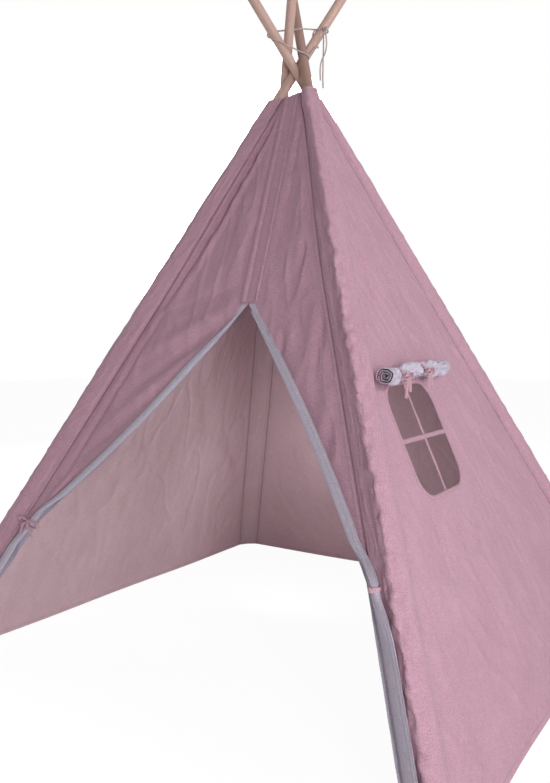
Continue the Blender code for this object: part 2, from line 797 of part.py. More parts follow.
def window_ring(grow, out):
    """The window's outline, grown all round, at this distance out from the panel's middle."""
    middle, along, up, outward = window_frame()
    outline = rounded_outline(WINDOW_WIDTH / 2 + grow, WINDOW_HEIGHT / 2 + grow, WINDOW_CORNER + grow)
    return [middle + along * x + up * y + outward * out for x, y in outline]


def cut_window(panel):
    rings = [window_ring(BINDING_WIDTH + GAP, -CUT_OVERRUN), window_ring(BINDING_WIDTH + GAP, CUT_OVERRUN)]
    boolean(panel, solid("window_cutter", *loft(rings), material("fabric", FABRIC, 0.9)), "DIFFERENCE")


def window_binding():
    half = BINDING_THICKNESS / 2
    section = ((BINDING_WIDTH, -half), (BINDING_WIDTH, half), (0, half), (0, -half))
    rings = [window_ring(grow, out) for grow, out in section]
    solid("window_binding", *loft_round(rings), material("binding", RIBBON, 0.9))


def window_bar(name, upright, side):
    """A sewn strip across the opening, with the two strips face to face where they cross."""
    middle, along, up, outward = window_frame()
    length = (WINDOW_HEIGHT if upright else WINDOW_WIDTH) - 2 * GAP
    run, across = (up, along) if upright else (along, up)
    centre = middle + outward * side * (BAR_THICKNESS + GAP) / 2
    corners = [
        across * edge * BAR_WIDTH / 2 + outward * face * BAR_THICKNESS / 2
        for edge, face in ((-1, -1), (1, -1), (1, 1), (-1, 1))
    ]
    ends = [[centre + run * end * length / 2 + corner for corner in corners] for end in (-1, 1)]
    solid(name, *loft(ends), material("binding", RIBBON, 0.9))


# The curtain, rolled up above the window


def curtain_radius(along):
    """The roll is drawn in at its two ties."""
    pinch = max(math.exp(-(((along - tie) / CURTAIN_TIE_RUN) ** 2)) for tie in CURTAIN_TIE_PLACES)
    return lerp(CURTAIN_RADIUS, CURTAIN_TIED_RADIUS, pinch)


def curtain_middle(along):
    """The middle of the roll, a ribbon's thickness off the panel. Its front end rises onto the sleeve."""
    _, _, up, outward = window_frame()
    height = WINDOW_Z + (WINDOW_HEIGHT / 2 + CURTAIN_ABOVE) * up.z
    start, _, row_along, _ = RIGHT.row(height)
    on_panel = RIGHT.point(height, (WINDOW_Y + along - start.y) / row_along.y)
    front_end = CURTAIN_SHIFT - CURTAIN_LENGTH / 2
    rise = CURTAIN_RISE * (1 - smoothstep(front_end, front_end + CURTAIN_RISE_RUN, along))
    out = PANEL_THICKNESS / 2 + RIBBON_THICKNESS + 3 * GAP + curtain_radius(along) + rise
    return on_panel + outward * out


def curtain_roll():
    """A strip of cloth wound inwards: its spiral section follows the roll from end to end."""
    _, _, up, outward = window_frame()
    steps = int(CURTAIN_TURNS * CURTAIN_TURN_POINTS)
    spiral = []
    for step in range(steps + 1):
        turn = 2 * math.pi * step / CURTAIN_TURN_POINTS
        spiral.append((turn, CURTAIN_RADIUS - (CURTAIN_LAYER + CURTAIN_SPACE) * turn / (2 * math.pi)))
    spiral += [(turn, radius - CURTAIN_LAYER) for turn, radius in spiral[::-1]]
    front_end = CURTAIN_SHIFT - CURTAIN_LENGTH / 2
    sections = [front_end, front_end + CURTAIN_RISE_RUN / 3, front_end + CURTAIN_LENGTH]
    for tie in CURTAIN_TIE_PLACES:
        sections += [tie + sign * reach for sign in (-1, 1) for reach in (RIBBON_WIDTH / 2, CURTAIN_TIE_RUN)]
    rings = []
    for along in sorted(sections):
        scale = curtain_radius(along) / CURTAIN_RADIUS
        middle = curtain_middle(along)
        spokes = [(up * math.sin(turn) - outward * math.cos(turn)) * radius for turn, radius in spiral]
        rings.append([middle + spoke * scale for spoke in spokes])
    solid("curtain_roll", *loft(rings), material("lining", LINING, 0.9), smooth=True)


def curtain_tie(name, place_along):
    finish = material("ribbon", RIBBON, 0.7)
    _, along, up, outward = window_frame()
    turns = [2 * math.pi * i / CURTAIN_TURN_POINTS for i in range(CURTAIN_TURN_POINTS)]
    bore = max(curtain_radius(place_along + end * RIBBON_WIDTH / 2) for end in (-1, 1)) + 2 * GAP

    def ring(end, radius):
        middle = curtain_middle(place_along) + along * end * RIBBON_WIDTH / 2
        return [middle + (outward * math.cos(turn) + up * math.sin(turn)) * radius for turn in turns]

    wall = bore + RIBBON_THICKNESS
    tie = solid(name, *loft_round([ring(-1, wall), ring(1, wall), ring(1, bore), ring(-1, bore)]), finish)
    knot_turn = math.radians(CURTAIN_KNOT_TURN)
    away = outward * math.cos(knot_turn) + up * math.sin(knot_turn)
    knot = curtain_middle(place_along) + away * (bore + KNOT_RADIUS)
    boolean(tie, lump(f"{name}_knot", knot, KNOT_RADIUS, finish), "UNION")
    for word, sideways in (("front", -along), ("back", along)):
        route = hang(knot, sideways, outward, CURTAIN_TAIL)
        boolean(tie, ribbon(f"{name}_tail_{word}", route, along, finish), "UNION")


# The lashing


def round_pole(corner, height, angle):
    """A point of the cord's centre line beside a pole."""
    _, across, under = pole_frame(corner)
    turn = math.radians(angle)
    reach = POLE_RADIUS + CORD_WRAP_GAP + CORD_RADIUS
    return axis_at(corner, height) + (across * math.cos(turn) + under * math.sin(turn)) * reach


def smooth_path(points, spacing):
    """Points at even steps on one smooth curve through these points."""
    dense = []
    for index in range(len(points) - 1):
        before = points[max(0, index - 1)]
        a, b = points[index], points[index + 1]
        after = points[min(len(points) - 1, index + 2)]
        reach = (b - a).length
        leave = (b - before).normalized() * reach
        arrive = (after - a).normalized() * reach
        steps = max(4, math.ceil(8 * reach / spacing))
        for step in range(steps):
            t = step / steps
            dense.append(
                a * (2 * t**3 - 3 * t**2 + 1) + leave * (t**3 - 2 * t**2 + t)
                + b * (3 * t**2 - 2 * t**3) + arrive * (t**3 - t**2)
            )
    dense.append(points[-1])
    lengths = [0]
    for a, b in zip(dense, dense[1:]):
        lengths.append(lengths[-1] + (b - a).length)
    count = max(2, round(lengths[-1] / spacing))
    even, index = [], 0
    for step in range(count + 1):
        wanted = lengths[-1] * step / count
        while index < len(lengths) - 2 and lengths[index + 1] < wanted:
            index += 1
        share = (wanted - lengths[index]) / (lengths[index + 1] - lengths[index])
        even.append(dense[index].lerp(dense[index + 1], share))
    return even


def tube(name, points):
    curve = bpy.data.curves.new(name, "CURVE")
    curve.dimensions = "3D"
    curve.bevel_depth = CORD_RADIUS
    curve.bevel_resolution = 2
    curve.use_fill_caps = True
    curve.materials.append(material("cord", CORD, 0.85))
    spline = curve.splines.new("POLY")
    spline.points.add(len(points) - 1)
    for knot, point in zip(spline.points, points):
        knot.co = (*point, 1)
    place(bpy.data.objects.new(name, curve), Vector((0, 0, 0)), None)


def cord_knot_middle():
    _, across, under = pole_frame(KNOT_POLE)
    turn = math.radians(KNOT_ANGLE)
    reach = POLE_RADIUS + GAP + CORD_KNOT_RADIUS
    return axis_at(KNOT_POLE, KNOT_HEIGHT) + (across * math.cos(turn) + under * math.sin(turn)) * reach


def loop_route():
    """The cord from the knot round the poles and back to the knot, straight out of it at both ends."""
    stops = [round_pole(*stop) for stop in CORD_ROUTE]
    knot = cord_knot_middle()
    reach = CORD_KNOT_RADIUS + GAP
    first, last = (knot + (stop - knot).normalized() * reach for stop in (stops[0], stops[-1]))
    return [first, *stops, last]


def tail_route(leaves, points):
    """A free end of the cord: straight out of the knot, then down through its points."""
    direction = Vector(leaves).normalized()
    start = cord_knot_middle() + direction * (CORD_KNOT_RADIUS + GAP)
    return [start, start + direction * CORD_SPACING] + [Vector(point) for point in points]


def lashing():
    tube("lashing_loop", smooth_path(loop_route(), CORD_SPACING))
    lump("lashing_knot", cord_knot_middle(), CORD_KNOT_RADIUS, material("cord", CORD, 0.85))
    tube("lashing_tail_long", smooth_path(tail_route(LONG_TAIL_LEAVES, LONG_TAIL), CORD_SPACING))
    tube("lashing_tail_short", smooth_path(tail_route(SHORT_TAIL_LEAVES, SHORT_TAIL), CORD_SPACING))


def build():
    clear_scene()
    for corner in CORNERS:
        hinge = place(bpy.data.objects.new(f"fold_{corner}", None), axis_at(corner, FOLD_HEIGHT), None)
        pole_section(corner, "lower", 0, POLE_LOWER_LENGTH - GAP / 2, hinge)
        pole_section(corner, "upper", POLE_LOWER_LENGTH + GAP / 2, POLE_LENGTH, hinge)
        ferrule(corner, hinge)
        sleeve(corner, hinge)
    for side in ("left", "right"):
        front_half(side)
        door_flap(side)
        door_tie(side)
    placket_band()
    plain_panel("left_panel", LEFT)
    plain_panel("back_panel", BACK)
    cut_window(plain_panel("right_panel", RIGHT))
    window_binding()
    window_bar("window_bar_upright", True, -1)
    window_bar("window_bar_cross", False, 1)
    curtain_roll()
    for name, place_along in zip(("curtain_tie_front", "curtain_tie_back"), CURTAIN_TIE_PLACES):
        curtain_tie(name, place_along)
    lashing()


build()
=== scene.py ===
import math

import bpy
import numpy as np
from mathutils import Matrix, Vector, noise


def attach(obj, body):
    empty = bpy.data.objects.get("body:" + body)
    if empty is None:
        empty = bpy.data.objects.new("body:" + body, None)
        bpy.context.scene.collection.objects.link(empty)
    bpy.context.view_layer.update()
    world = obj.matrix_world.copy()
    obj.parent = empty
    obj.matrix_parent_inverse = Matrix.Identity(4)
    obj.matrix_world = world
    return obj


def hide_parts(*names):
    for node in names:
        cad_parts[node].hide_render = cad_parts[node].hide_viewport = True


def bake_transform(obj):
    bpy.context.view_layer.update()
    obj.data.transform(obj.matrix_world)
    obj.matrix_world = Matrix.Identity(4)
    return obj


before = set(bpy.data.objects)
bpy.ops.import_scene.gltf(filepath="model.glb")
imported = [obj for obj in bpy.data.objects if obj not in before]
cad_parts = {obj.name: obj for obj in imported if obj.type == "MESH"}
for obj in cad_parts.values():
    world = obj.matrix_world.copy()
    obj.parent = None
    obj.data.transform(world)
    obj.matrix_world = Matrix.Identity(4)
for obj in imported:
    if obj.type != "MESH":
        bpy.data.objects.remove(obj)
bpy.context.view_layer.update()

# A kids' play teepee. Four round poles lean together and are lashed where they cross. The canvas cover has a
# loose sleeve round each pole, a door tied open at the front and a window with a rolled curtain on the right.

# The poles, as they stand in the frame
FOOT_HALF = 0.600
POLE_RADIUS = 0.011
LOW_CROSSING = 1.319
LOW_PAIR_CLEARANCE = 0.0012
HIGH_PAIR_CLEARANCE = 0.0091
NEIGHBOUR_CLEARANCE = 0.0010
LOW_STEP = (POLE_RADIUS + LOW_PAIR_CLEARANCE / 2) / math.sqrt(2)
HIGH_STEP = (POLE_RADIUS + HIGH_PAIR_CLEARANCE / 2) / math.sqrt(2)
NEIGHBOUR_PASS = (2 * POLE_RADIUS + NEIGHBOUR_CLEARANCE) * math.hypot(FOOT_HALF, LOW_CROSSING)
CROSSING_RISE = (NEIGHBOUR_PASS + (HIGH_STEP - LOW_STEP) * LOW_CROSSING) / (FOOT_HALF + LOW_STEP)
HIGH_CROSSING = LOW_CROSSING + CROSSING_RISE
CORNERS = {"front_left": (-1, -1), "front_right": (1, -1), "back_left": (-1, 1), "back_right": (1, 1)}
LOW_PAIR = ("front_left", "back_right")
UP = np.array((0.0, 0.0, 1.0))

# The cover
FABRIC_TOP = 1.255
HEM_HEIGHT = 0.022
TOP_HEM_HEIGHT = 0.013
HEM_STEP = 0.002
CLOTH_HALF = 0.0007
HEM_HALF = 0.0013
SEAM_HALF = 0.0011
CAD_HALF = 0.0010
PANEL_SLOPE = 1.1
SLEEVE_SLOPE = 1.17
ROW_SPACING = 0.0052
SLEEVE_REACH = POLE_RADIUS + 0.012
SLEEVE_REACH_TOP = POLE_RADIUS + 0.0095
SEAM_ALONG = SLEEVE_REACH + 0.017
SEAM_ALONG_TOP = SLEEVE_REACH_TOP + 0.0015
SEAM_OUT = 0.003
SEAM_TUCK = 0.0006
SLEEVE_TAPER_FROM = 0.800
SEAM_ANGLE = 135
SEAM_INDEX = 5
SLEEVE_ANGLES = (0, 30, 60, 90, 115, SEAM_ANGLE, 155, 180)
SLEEVE_BODY_SHARES = (1.00, 0.96, 0.95, 1.05, 1.32, 0, 1.06, 0.90)
SLEEVE_TOP_SHARES = (1.00, 0.97, 0.92, 0.92, 0.98, 0, 0.92, 0.86)
SLEEVE_STEPS = 6
RIDGE_INDEX = 1
FRONT_BODY_SHARES = {"left": (1.00, 0.96, 0.97, 1.20, 1.78), "right": (1.00, 1.27, 0.94, 0.93, 1.22)}
FRONT_TOP_SHARES = {"left": (1.00, 0.97, 0.94, 1.10, 1.45), "right": (0.98, 1.18, 0.90, 0.84, 0.88)}
OVERHANG_FROM, OVERHANG_FULL = 0.42, 0.60
FOLD_DEPTH = 0.0060
FOLD_COUNT = 2
FOLD_FROM = 0.780
FOLD_FADE = 0.200
FOLD_END_FADE = 0.060
FLOOR_FOLD_DEPTH = 0.0045
FLOOR_FOLD_TO = 0.280

# The door, its flaps and their ties
DOOR_APEX = 0.775
DOOR_APEX_X = 0.045
PLACKET_TOP_X = 0.016
PLACKET_WIDTH = 0.044
TIE_HEIGHT = 0.320
FOLD_AT_FLOOR = {"left": 0.020, "right": 0.008}
FOLD_AT_TIE = {"left": 0.045, "right": 0.008}
FOLD_BOW = {"left": 0.024, "right": -0.014}
FLAP_HALF_WIDTH = 0.013
FLAP_HALF_DEPTH = 0.0048
FLAP_OVERHANG = 0.002
FLAP_CLEARANCE = 0.00055
FLAP_GATHER = 0.0080
FLAP_GATHER_RUN = 0.045
FLAP_TIP = 0.018
FLAP_TIP_HALF_WIDTH = 0.004
FLAP_TIP_HALF_DEPTH = 0.002
FLAP_TIP_RUN = 0.110
FLAP_FOOT = 0.006
FLAP_SHIFT_RUN = 0.060
FLAP_AT_TIE = {"left": 0.0385, "right": -0.0150}
TAIL_AT_FLOOR = {"left": 0.0180, "right": -0.0150}
TAIL_WIDER = {"left": 0.0, "right": 0.0065}
FLAP_CLOTH = 0.0011
TURNED_BACK = 0.016
RIBBON_WIDTH = 0.007
RIBBON_THICKNESS = 0.0012
KNOT_RADIUS = 0.0055
TAIL_WIDTH = 0.0052

# The window and its curtain
WINDOW_Y = -0.150
WINDOW_Z = 0.512
WINDOW_WIDTH = 0.206
WINDOW_HEIGHT = 0.214
WINDOW_CORNER = 0.045
BINDING_WIDTH = 0.009
BAR_WIDTH = 0.009
BAR_THICKNESS = 0.0012
CURTAIN_LENGTH = 0.335
CURTAIN_SHIFT = 0.022
CURTAIN_ABOVE = 0.021
CURTAIN_RADIUS = 0.0150
CURTAIN_TIED_RADIUS = 0.0125
CURTAIN_RISE = 0.0115
CURTAIN_RISE_RUN = 0.075
CURTAIN_TIE_PLACES = (-0.055, 0.062)
CURTAIN_TIE_RUN = 0.022
CURTAIN_TURNS = 3.2
CURTAIN_DROOP = 0.012
CURTAIN_FULLNESS = 1.16
CURTAIN_CLOTH = 0.0011
ROLL_HEIGHT = 0.625
ROLL_ROOM = 0.020

# The cord that lashes the poles
CORD_RADIUS = 0.00175
CORD_WRAP_GAP = 0.0010
KNOT_POLE = "front_left"
KNOT_HEIGHT = 1.424
KNOT_ANGLE = 172
CORD_KNOT_RADIUS = 0.0052
CORD_LAY = 0.013
KNOT_STRAND_RADIUS = 0.0016
KNOT_CURL = 0.00125
PATH_SPACING = 0.0016
TAIL_STRAIGHT = 0.008
GAP = 0.0003
CORD_ROUTE = (
    ("front_left", 1.4290, 136),
    ("front_left", 1.4300, 100),
    ("front_left", 1.4300, 60),
    ("front_left", 1.4290, 20),
    ("front_left", 1.4280, -22),
    ("front_right", 1.4200, 246),
    ("front_right", 1.4180, 260),
    ("back_right", 1.4080, 172),
    ("back_right", 1.4040, 132),
    ("back_right", 1.3980, 90),
    ("back_right", 1.3900, 50),
    ("back_right", 1.3790, 13),
    ("front_right", 1.3460, 282),
    ("front_right", 1.3430, 250),
    ("front_right", 1.3430, 216),
    ("front_right", 1.3450, 180),
    ("front_right", 1.3500, 150),
    ("front_left", 1.3850, 150),
    ("front_left", 1.3880, 128),
    ("front_left", 1.3930, 90),
    ("front_left", 1.3980, 45),
    ("front_left", 1.4030, 0),
    ("front_left", 1.4080, -45),
    ("front_left", 1.4130, -90),
    ("front_left", 1.4170, -125),
    ("front_left", 1.4190, -150),
)
LONG_TAIL = (
    (0.0530, 0.0415, 1.3900),
    (0.0520, 0.0410, 1.3500),
    (0.0505, 0.0415, 1.3100),
    (0.0520, 0.0400, 1.2850),
)
LONG_TAIL_LEAVES = (0.05, -0.30, -1)
SHORT_TAIL = (
    (0.0650, 0.0320, 1.4050),
    (0.0680, 0.0290, 1.3750),
    (0.0630, 0.0290, 1.3560),
    (0.0560, 0.0300, 1.3480),
    (0.0500, 0.0310, 1.3300),
    (0.0500, 0.0310, 1.3000),
)
SHORT_TAIL_LEAVES = (0.80, -0.60, -0.20)


def lerp(a, b, share):
    return a + (b - a) * share


def rise(start, end, value):
    """From 0 at start to 1 at end, softly."""
    share = np.clip((value - start) / (end - start), 0, 1)
    return share * share * (3 - 2 * share)


def col(value):
    return np.asarray(value, float)[..., None]


def unit(vectors):
    return vectors / np.linalg.norm(vectors, axis=-1, keepdims=True)


def dot(a, b):
    return (a * b).sum(-1)


def rumple(x, y, seed):
    """Soft noise between -1 and 1 at each (x, y)."""
    found = [noise.noise((a, b, seed)) for a, b in zip(np.ravel(x), np.ravel(y))]
    return np.array(found).reshape(np.shape(x))


def ridge(field, steepness):
    """1 along the lines where this noise crosses zero, and down to 0 beside them."""
    return 1 - np.minimum(1, np.abs(field) * steepness)


def between(a, b, leave, arrive, share):
    """A point of the smooth curve that leaves a and arrives at b in these directions."""
    return (a * (2 * share**3 - 3 * share**2 + 1) + leave * (share**3 - 2 * share**2 + share)
            + b * (3 * share**2 - 2 * share**3) + arrive * (share**3 - share**2))


def distances(path):
    """How far along the path each of its points lies."""
    return np.concatenate([[0], np.cumsum(np.linalg.norm(np.diff(path, axis=0), axis=1))])


# Where the poles, seams and panels run


def axis_at(corner, height):
    """The points of the pole's axis at these heights."""
    side_x, side_y = CORNERS[corner]
    low = corner in LOW_PAIR
    step = LOW_STEP if low else HIGH_STEP
    crossing_z = LOW_CROSSING if low else HIGH_CROSSING
    foot = np.array((side_x * FOOT_HALF, side_y * FOOT_HALF, 0))
    crossing = np.array((side_x * step, -side_y * step, crossing_z))
    return foot + (crossing - foot) * col(height) / crossing_z


def pole_frame(corner):
    """The pole's direction, the level direction across it, and the direction that looks down from it."""
    along = unit(axis_at(corner, 1.0) - axis_at(corner, 0.0))
    level = math.hypot(along[0], along[1])
    lean = np.array((along[0], along[1], 0)) / level
    return along, np.cross(UP, lean), lean * along[2] - UP * level


def panel_directions(corner, height):
    """From this pole to its neighbours across the front or back panel, and across the side panel."""
    side_x, side_y = CORNERS[corner]
    names = {sides: name for name, sides in CORNERS.items()}
    middle = axis_at(corner, height)
    others = (names[-side_x, side_y], names[side_x, -side_y])
    return [unit(axis_at(other, height) - middle) for other in others]


def fullness(height):
    """1 where the sleeve is wide, 0 at its mouth."""
    return 1 - rise(SLEEVE_TAPER_FROM, FABRIC_TOP, height)


def seam_point(corner, height, panel):
    """Where a panel is sewn to the sleeve."""
    directions = panel_directions(corner, height)
    along, other = directions[panel], directions[1 - panel]
    inward = unit(other - along * col(dot(other, along)))
    reach = lerp(SEAM_ALONG_TOP, SEAM_ALONG, fullness(height))
    return axis_at(corner, height) + along * col(reach) - inward * SEAM_OUT


def placket_x(height):
    """Where the seam down the front's middle runs."""
    return lerp(DOOR_APEX_X, PLACKET_TOP_X, (height - DOOR_APEX) / (FABRIC_TOP - DOOR_APEX))


def stroke(x, y, start, end, width, depth):
    """A crease from start to end: a soft ridge, or a groove if its depth is below zero."""
    run_x, run_y = end[0] - start[0], end[1] - start[1]
    long = run_x * run_x + run_y * run_y
    share = ((x - start[0]) * run_x + (y - start[1]) * run_y) / long
    held = np.clip(share, 0, 1)
    away = (x - start[0] - run_x * held) ** 2 + (y - start[1] - run_y * held) ** 2
    return depth * np.exp(-away / width**2) * np.sin(math.pi * np.clip(share * 0.9 + 0.05, 0, 1)) ** 0.6


class Side:
    """One side of the cover, between two corners."""

    def __init__(self, first, second, kind, creases=None):
        self.first, self.second, self.kind, self.creases = first, second, kind, creases

    def row(self, height):
        """The sewn edges at these heights, the direction between them, and the inward direction."""
        start = seam_point(self.first, height, self.kind)
        end = seam_point(self.second, height, self.kind)
        along = unit(end - start)
        inward = np.cross(UP, along)
        inward = inward * -np.sign(col(dot(inward, start)))
        return start, end, along, inward

    def width(self, height):
        start, end, _, _ = self.row(height)
        return np.linalg.norm(end - start, axis=-1)

    def middle(self, height):
        """From the first edge to the line down the middle, which is the seam above the door on the front."""
        if self is not FRONT:
            return self.width(height) / 2
        start, _, along, _ = self.row(height)
        return (placket_x(height) - start[..., 0]) / along[..., 0]

    def relief(self, distance, height):
        """How far the cloth stands out: long folds below the top, soft ones at the floor, and its creases."""
        wave = (1 - np.cos(2 * math.pi * FOLD_COUNT * distance / self.width(height))) / 2
        upper = rise(FOLD_FROM, FOLD_FROM + FOLD_FADE, height)
        upper = upper * (1 - rise(FABRIC_TOP - FOLD_FADE, FABRIC_TOP - FOLD_END_FADE, height))
        lower = 1 - rise(HEM_HEIGHT, FLOOR_FOLD_TO, height)
        if self is FRONT:
            beside = np.abs(distance - self.middle(height)) - PLACKET_WIDTH / 2
            wave = wave * rise(0, PLACKET_WIDTH / 2, beside)
            lower = lower * 0
        return self.creases(distance, height) - wave * (FOLD_DEPTH * upper + FLOOR_FOLD_DEPTH * lower)

    def point(self, distance, height, lift=0):
        start, _, along, inward = self.row(height)
        return start + along * col(distance) + inward * col(-lift - self.relief(distance, height))

    def share(self, corner, points):
        """0 on the middle line and 1 on this corner's seam, for points on or near this side."""
        height = np.clip(points[:, 2], 0, FABRIC_TOP)
        start, end, along, _ = self.row(height)
        middle = self.middle(height)
        if corner == self.first:
            return 1 - dot(points - start, along) / middle
        return 1 - dot(end - points, along) / (self.width(height) - middle)


def fades(side, distance, height, edge=0.03):
    """1 inside the cloth, 0 at its sewn sides and at its hems."""
    width = side.width(height)
    return (
        rise(0, edge, distance) * rise(0, edge, width - distance)
        * rise(HEM_HEIGHT, HEM_HEIGHT + 0.05, height) * rise(0, 0.05, FABRIC_TOP - TOP_HEM_HEIGHT - height)
    )


def soft_creases(side, distance, height, seed, depth=0.0022):
    """Long soft drag lines that lean towards the crossing, and a little puckering at the seams."""
    across = distance - side.width(height) / 2
    drag = rumple(across * 9 / (0.35 + 1.1 * (FABRIC_TOP - height)), height * 2.2, seed)
    fold = ridge(rumple(across * 11 + height * 5, height * 4 - across * 3, seed + 5.7), 6)
    fine = rumple(across * 42, height * 17, seed + 7.3)
    near_seam = np.exp(-np.minimum(distance, side.width(height) - distance) / 0.022)
    pucker = rumple(across * 14, height * 62, seed + 3.1) * near_seam
    crinkle = ridge(rumple(across * 24 + height * 2, height * 6 - across * 4, seed + 8.8), 4)
    made = 1.8 * depth * drag + 0.0028 * fold**2 + 0.0020 * fine
    made = made + 1.2 * depth * crinkle**2 * rise(0.45, 0.80, height)
    return made * fades(side, distance, height) + 0.0018 * pucker * fades(side, distance, height, 0.010)


# Single creases: their start and end, each as a distance from the side's first seam and a height, and then
# their width and depth
FRONT_CREASES = (
    ((0.016, 1.215), (0.020, 0.780), 0.010, -0.0085),
    ((0.036, 1.200), (0.048, 0.800), 0.009, 0.0035),
    ((0.030, 0.760), (0.032, 0.400), 0.008, -0.0040),
    ((0.090, 1.205), (0.150, 1.070), 0.006, 0.0016),
    ((0.106, 1.190), (0.196, 1.000), 0.006, -0.0018),
    ((0.124, 1.200), (0.170, 1.100), 0.005, 0.0015),
    ((0.205, 1.060), (0.275, 0.900), 0.008, 0.0020),
    ((0.250, 1.010), (0.300, 0.930), 0.007, -0.0018),
    ((0.262, 0.960), (0.322, 0.850), 0.009, 0.0022),
    ((0.300, 0.920), (0.345, 0.830), 0.008, -0.0020),
    ((0.330, 0.870), (0.372, 0.790), 0.008, 0.0022),
    ((0.385, 0.715), (0.412, 0.672), 0.006, -0.0034),
    ((0.395, 0.730), (0.425, 0.690), 0.007, 0.0024),
    ((0.425, 0.760), (0.492, 0.660), 0.010, 0.0026),
    ((0.455, 0.740), (0.512, 0.640), 0.008, -0.0024),
    ((0.470, 0.690), (0.532, 0.590), 0.010, 0.0022),
    ((0.500, 0.740), (0.560, 0.610), 0.011, -0.0024),
    ((0.530, 0.670), (0.610, 0.520), 0.012, 0.0022),
    ((0.600, 0.560), (0.670, 0.440), 0.012, -0.0024),
    ((0.620, 0.520), (0.700, 0.380), 0.014, 0.0022),
    ((0.700, 0.400), (0.760, 0.280), 0.013, -0.0022),
    ((0.245, 0.792), (0.040, 0.665), 0.020, 0.0038),
    ((0.225, 0.742), (0.070, 0.590), 0.016, -0.0034),
    ((0.215, 0.700), (0.060, 0.520), 0.016, 0.0032),
    ((0.235, 0.825), (0.030, 0.760), 0.014, -0.0022),
    ((0.180, 0.620), (0.040, 0.440), 0.014, -0.0026),
    ((0.060, 1.060), (0.110, 0.930), 0.010, 0.0018),
    ((0.070, 0.980), (0.120, 0.860), 0.010, -0.0018),
    ((0.050, 0.420), (0.030, 0.345), 0.008, 0.0026),
    ((0.066, 0.430), (0.048, 0.345), 0.007, -0.0026),
    ((0.082, 0.420), (0.064, 0.350), 0.007, 0.0024),
)
RIGHT_CREASES = (
    ((0.055, 1.100), (0.066, 0.930), 0.005, -0.0022),
    ((0.058, 0.905), (0.074, 0.760), 0.005, -0.0034),
    ((0.068, 0.900), (0.084, 0.770), 0.006, 0.0020),
    ((0.137, 0.396), (0.160, 0.300), 0.0035, -0.0034),
    ((0.144, 0.392), (0.168, 0.290), 0.006, 0.0018),
    ((0.461, 0.684), (0.518, 0.625), 0.005, -0.0036),
    ((0.468, 0.690), (0.527, 0.630), 0.007, 0.0024),
    ((0.150, 0.930), (0.230, 0.760), 0.016, 0.0022),
    ((0.220, 0.820), (0.330, 0.720), 0.016, -0.0020),
    ((0.400, 0.600), (0.520, 0.480), 0.018, 0.0026),
    ((0.430, 0.520), (0.600, 0.430), 0.018, -0.0024),
    ((0.500, 0.380), (0.760, 0.250), 0.022, 0.0026),
    ((0.090, 0.300), (0.300, 0.210), 0.020, 0.0020),
    ((0.600, 0.260), (0.900, 0.160), 0.022, -0.0024),
    ((0.045, 0.560), (0.075, 0.500), 0.010, 0.0016),
    ((0.045, 0.470), (0.085, 0.400), 0.010, -0.0016),
)
LEFT_CREASES = (
    ((0.060, 0.980), (0.180, 0.700), 0.016, 0.0028),
    ((0.100, 0.820), (0.300, 0.560), 0.018, -0.0028),
    ((0.300, 0.640), (0.560, 0.420), 0.020, 0.0030),
    ((0.560, 0.430), (0.820, 0.260), 0.020, -0.0028),
    ((0.140, 0.420), (0.420, 0.230), 0.022, 0.0030),
    ((0.380, 0.900), (0.330, 0.660), 0.016, -0.0024),
    ((0.700, 0.600), (0.620, 0.420), 0.015, 0.0026),
)
BACK_CREASES = (
    ((0.070, 1.020), (0.170, 0.760), 0.015, 0.0026),
    ((0.330, 0.960), (0.260, 0.720), 0.015, -0.0026),
    ((0.180, 0.640), (0.420, 0.430), 0.020, 0.0030),
    ((0.620, 0.620), (0.480, 0.380), 0.020, -0.0028),
    ((0.240, 0.330), (0.620, 0.200), 0.022, 0.0030),
    ((0.780, 0.420), (0.900, 0.220), 0.016, -0.0026),
    ((0.520, 0.780), (0.560, 0.600), 0.014, 0.0024),
)
CREASE_STRENGTH = 1.9
FRONT_SOFT_DEPTH = 0.0034


def strokes(creases, distance, height):
    return CREASE_STRENGTH * sum(stroke(distance, height, *crease) for crease in creases)


def front_creases(distance, height):
    beside = np.abs(distance - FRONT.middle(height)) - PLACKET_WIDTH / 2
    calm = rise(0, 0.02, beside)
    near_fold = np.where(height < DOOR_APEX, 1, calm)
    drawn = soft_creases(FRONT, distance, height, 11.2, FRONT_SOFT_DEPTH) * calm
    single = strokes(FRONT_CREASES, distance, height) * near_fold
    return drawn + single * fades(FRONT, distance, height, 0.010)


def back_creases(distance, height):
    drawn = soft_creases(BACK, distance, height, 23.7)
    return drawn + strokes(BACK_CREASES, distance, height) * fades(BACK, distance, height, 0.02)


def left_creases(distance, height):
    drawn = soft_creases(LEFT, distance, height, 35.1)
    return drawn + strokes(LEFT_CREASES, distance, height) * fades(LEFT, distance, height, 0.02)


def right_creases(distance, height):
    start, _, along, _ = RIGHT.row(height)
    y = start[..., 1] + along[..., 1] * distance
    up_window = np.abs(height - WINDOW_Z) - WINDOW_HEIGHT / 2
    by_window = np.maximum(np.abs(y - WINDOW_Y) - WINDOW_WIDTH / 2, up_window)
    past_roll = np.abs(y - WINDOW_Y - CURTAIN_SHIFT) - CURTAIN_LENGTH / 2
    by_roll = np.maximum(past_roll, np.abs(height - ROLL_HEIGHT) - ROLL_ROOM)
    away = np.minimum(by_window, by_roll)
    drawn = soft_creases(RIGHT, distance, height, 47.9) * rise(0.012, 0.06, away)
    single = strokes(RIGHT_CREASES, distance, height) * rise(0.010, 0.016, away)
    return drawn + single * fades(RIGHT, distance, height, 0.02)


FRONT = Side("front_left", "front_right", 0, front_creases)
BACK = Side("back_left", "back_right", 0, back_creases)
LEFT = Side("front_left", "back_left", 1, left_creases)
RIGHT = Side("front_right", "back_right", 1, right_creases)


# Modelling


def alone(made):
    """Selects this piece and nothing else."""
    bpy.ops.object.select_all(action="DESELECT")
    made.select_set(True)
    bpy.context.view_layer.objects.active = made
    return made


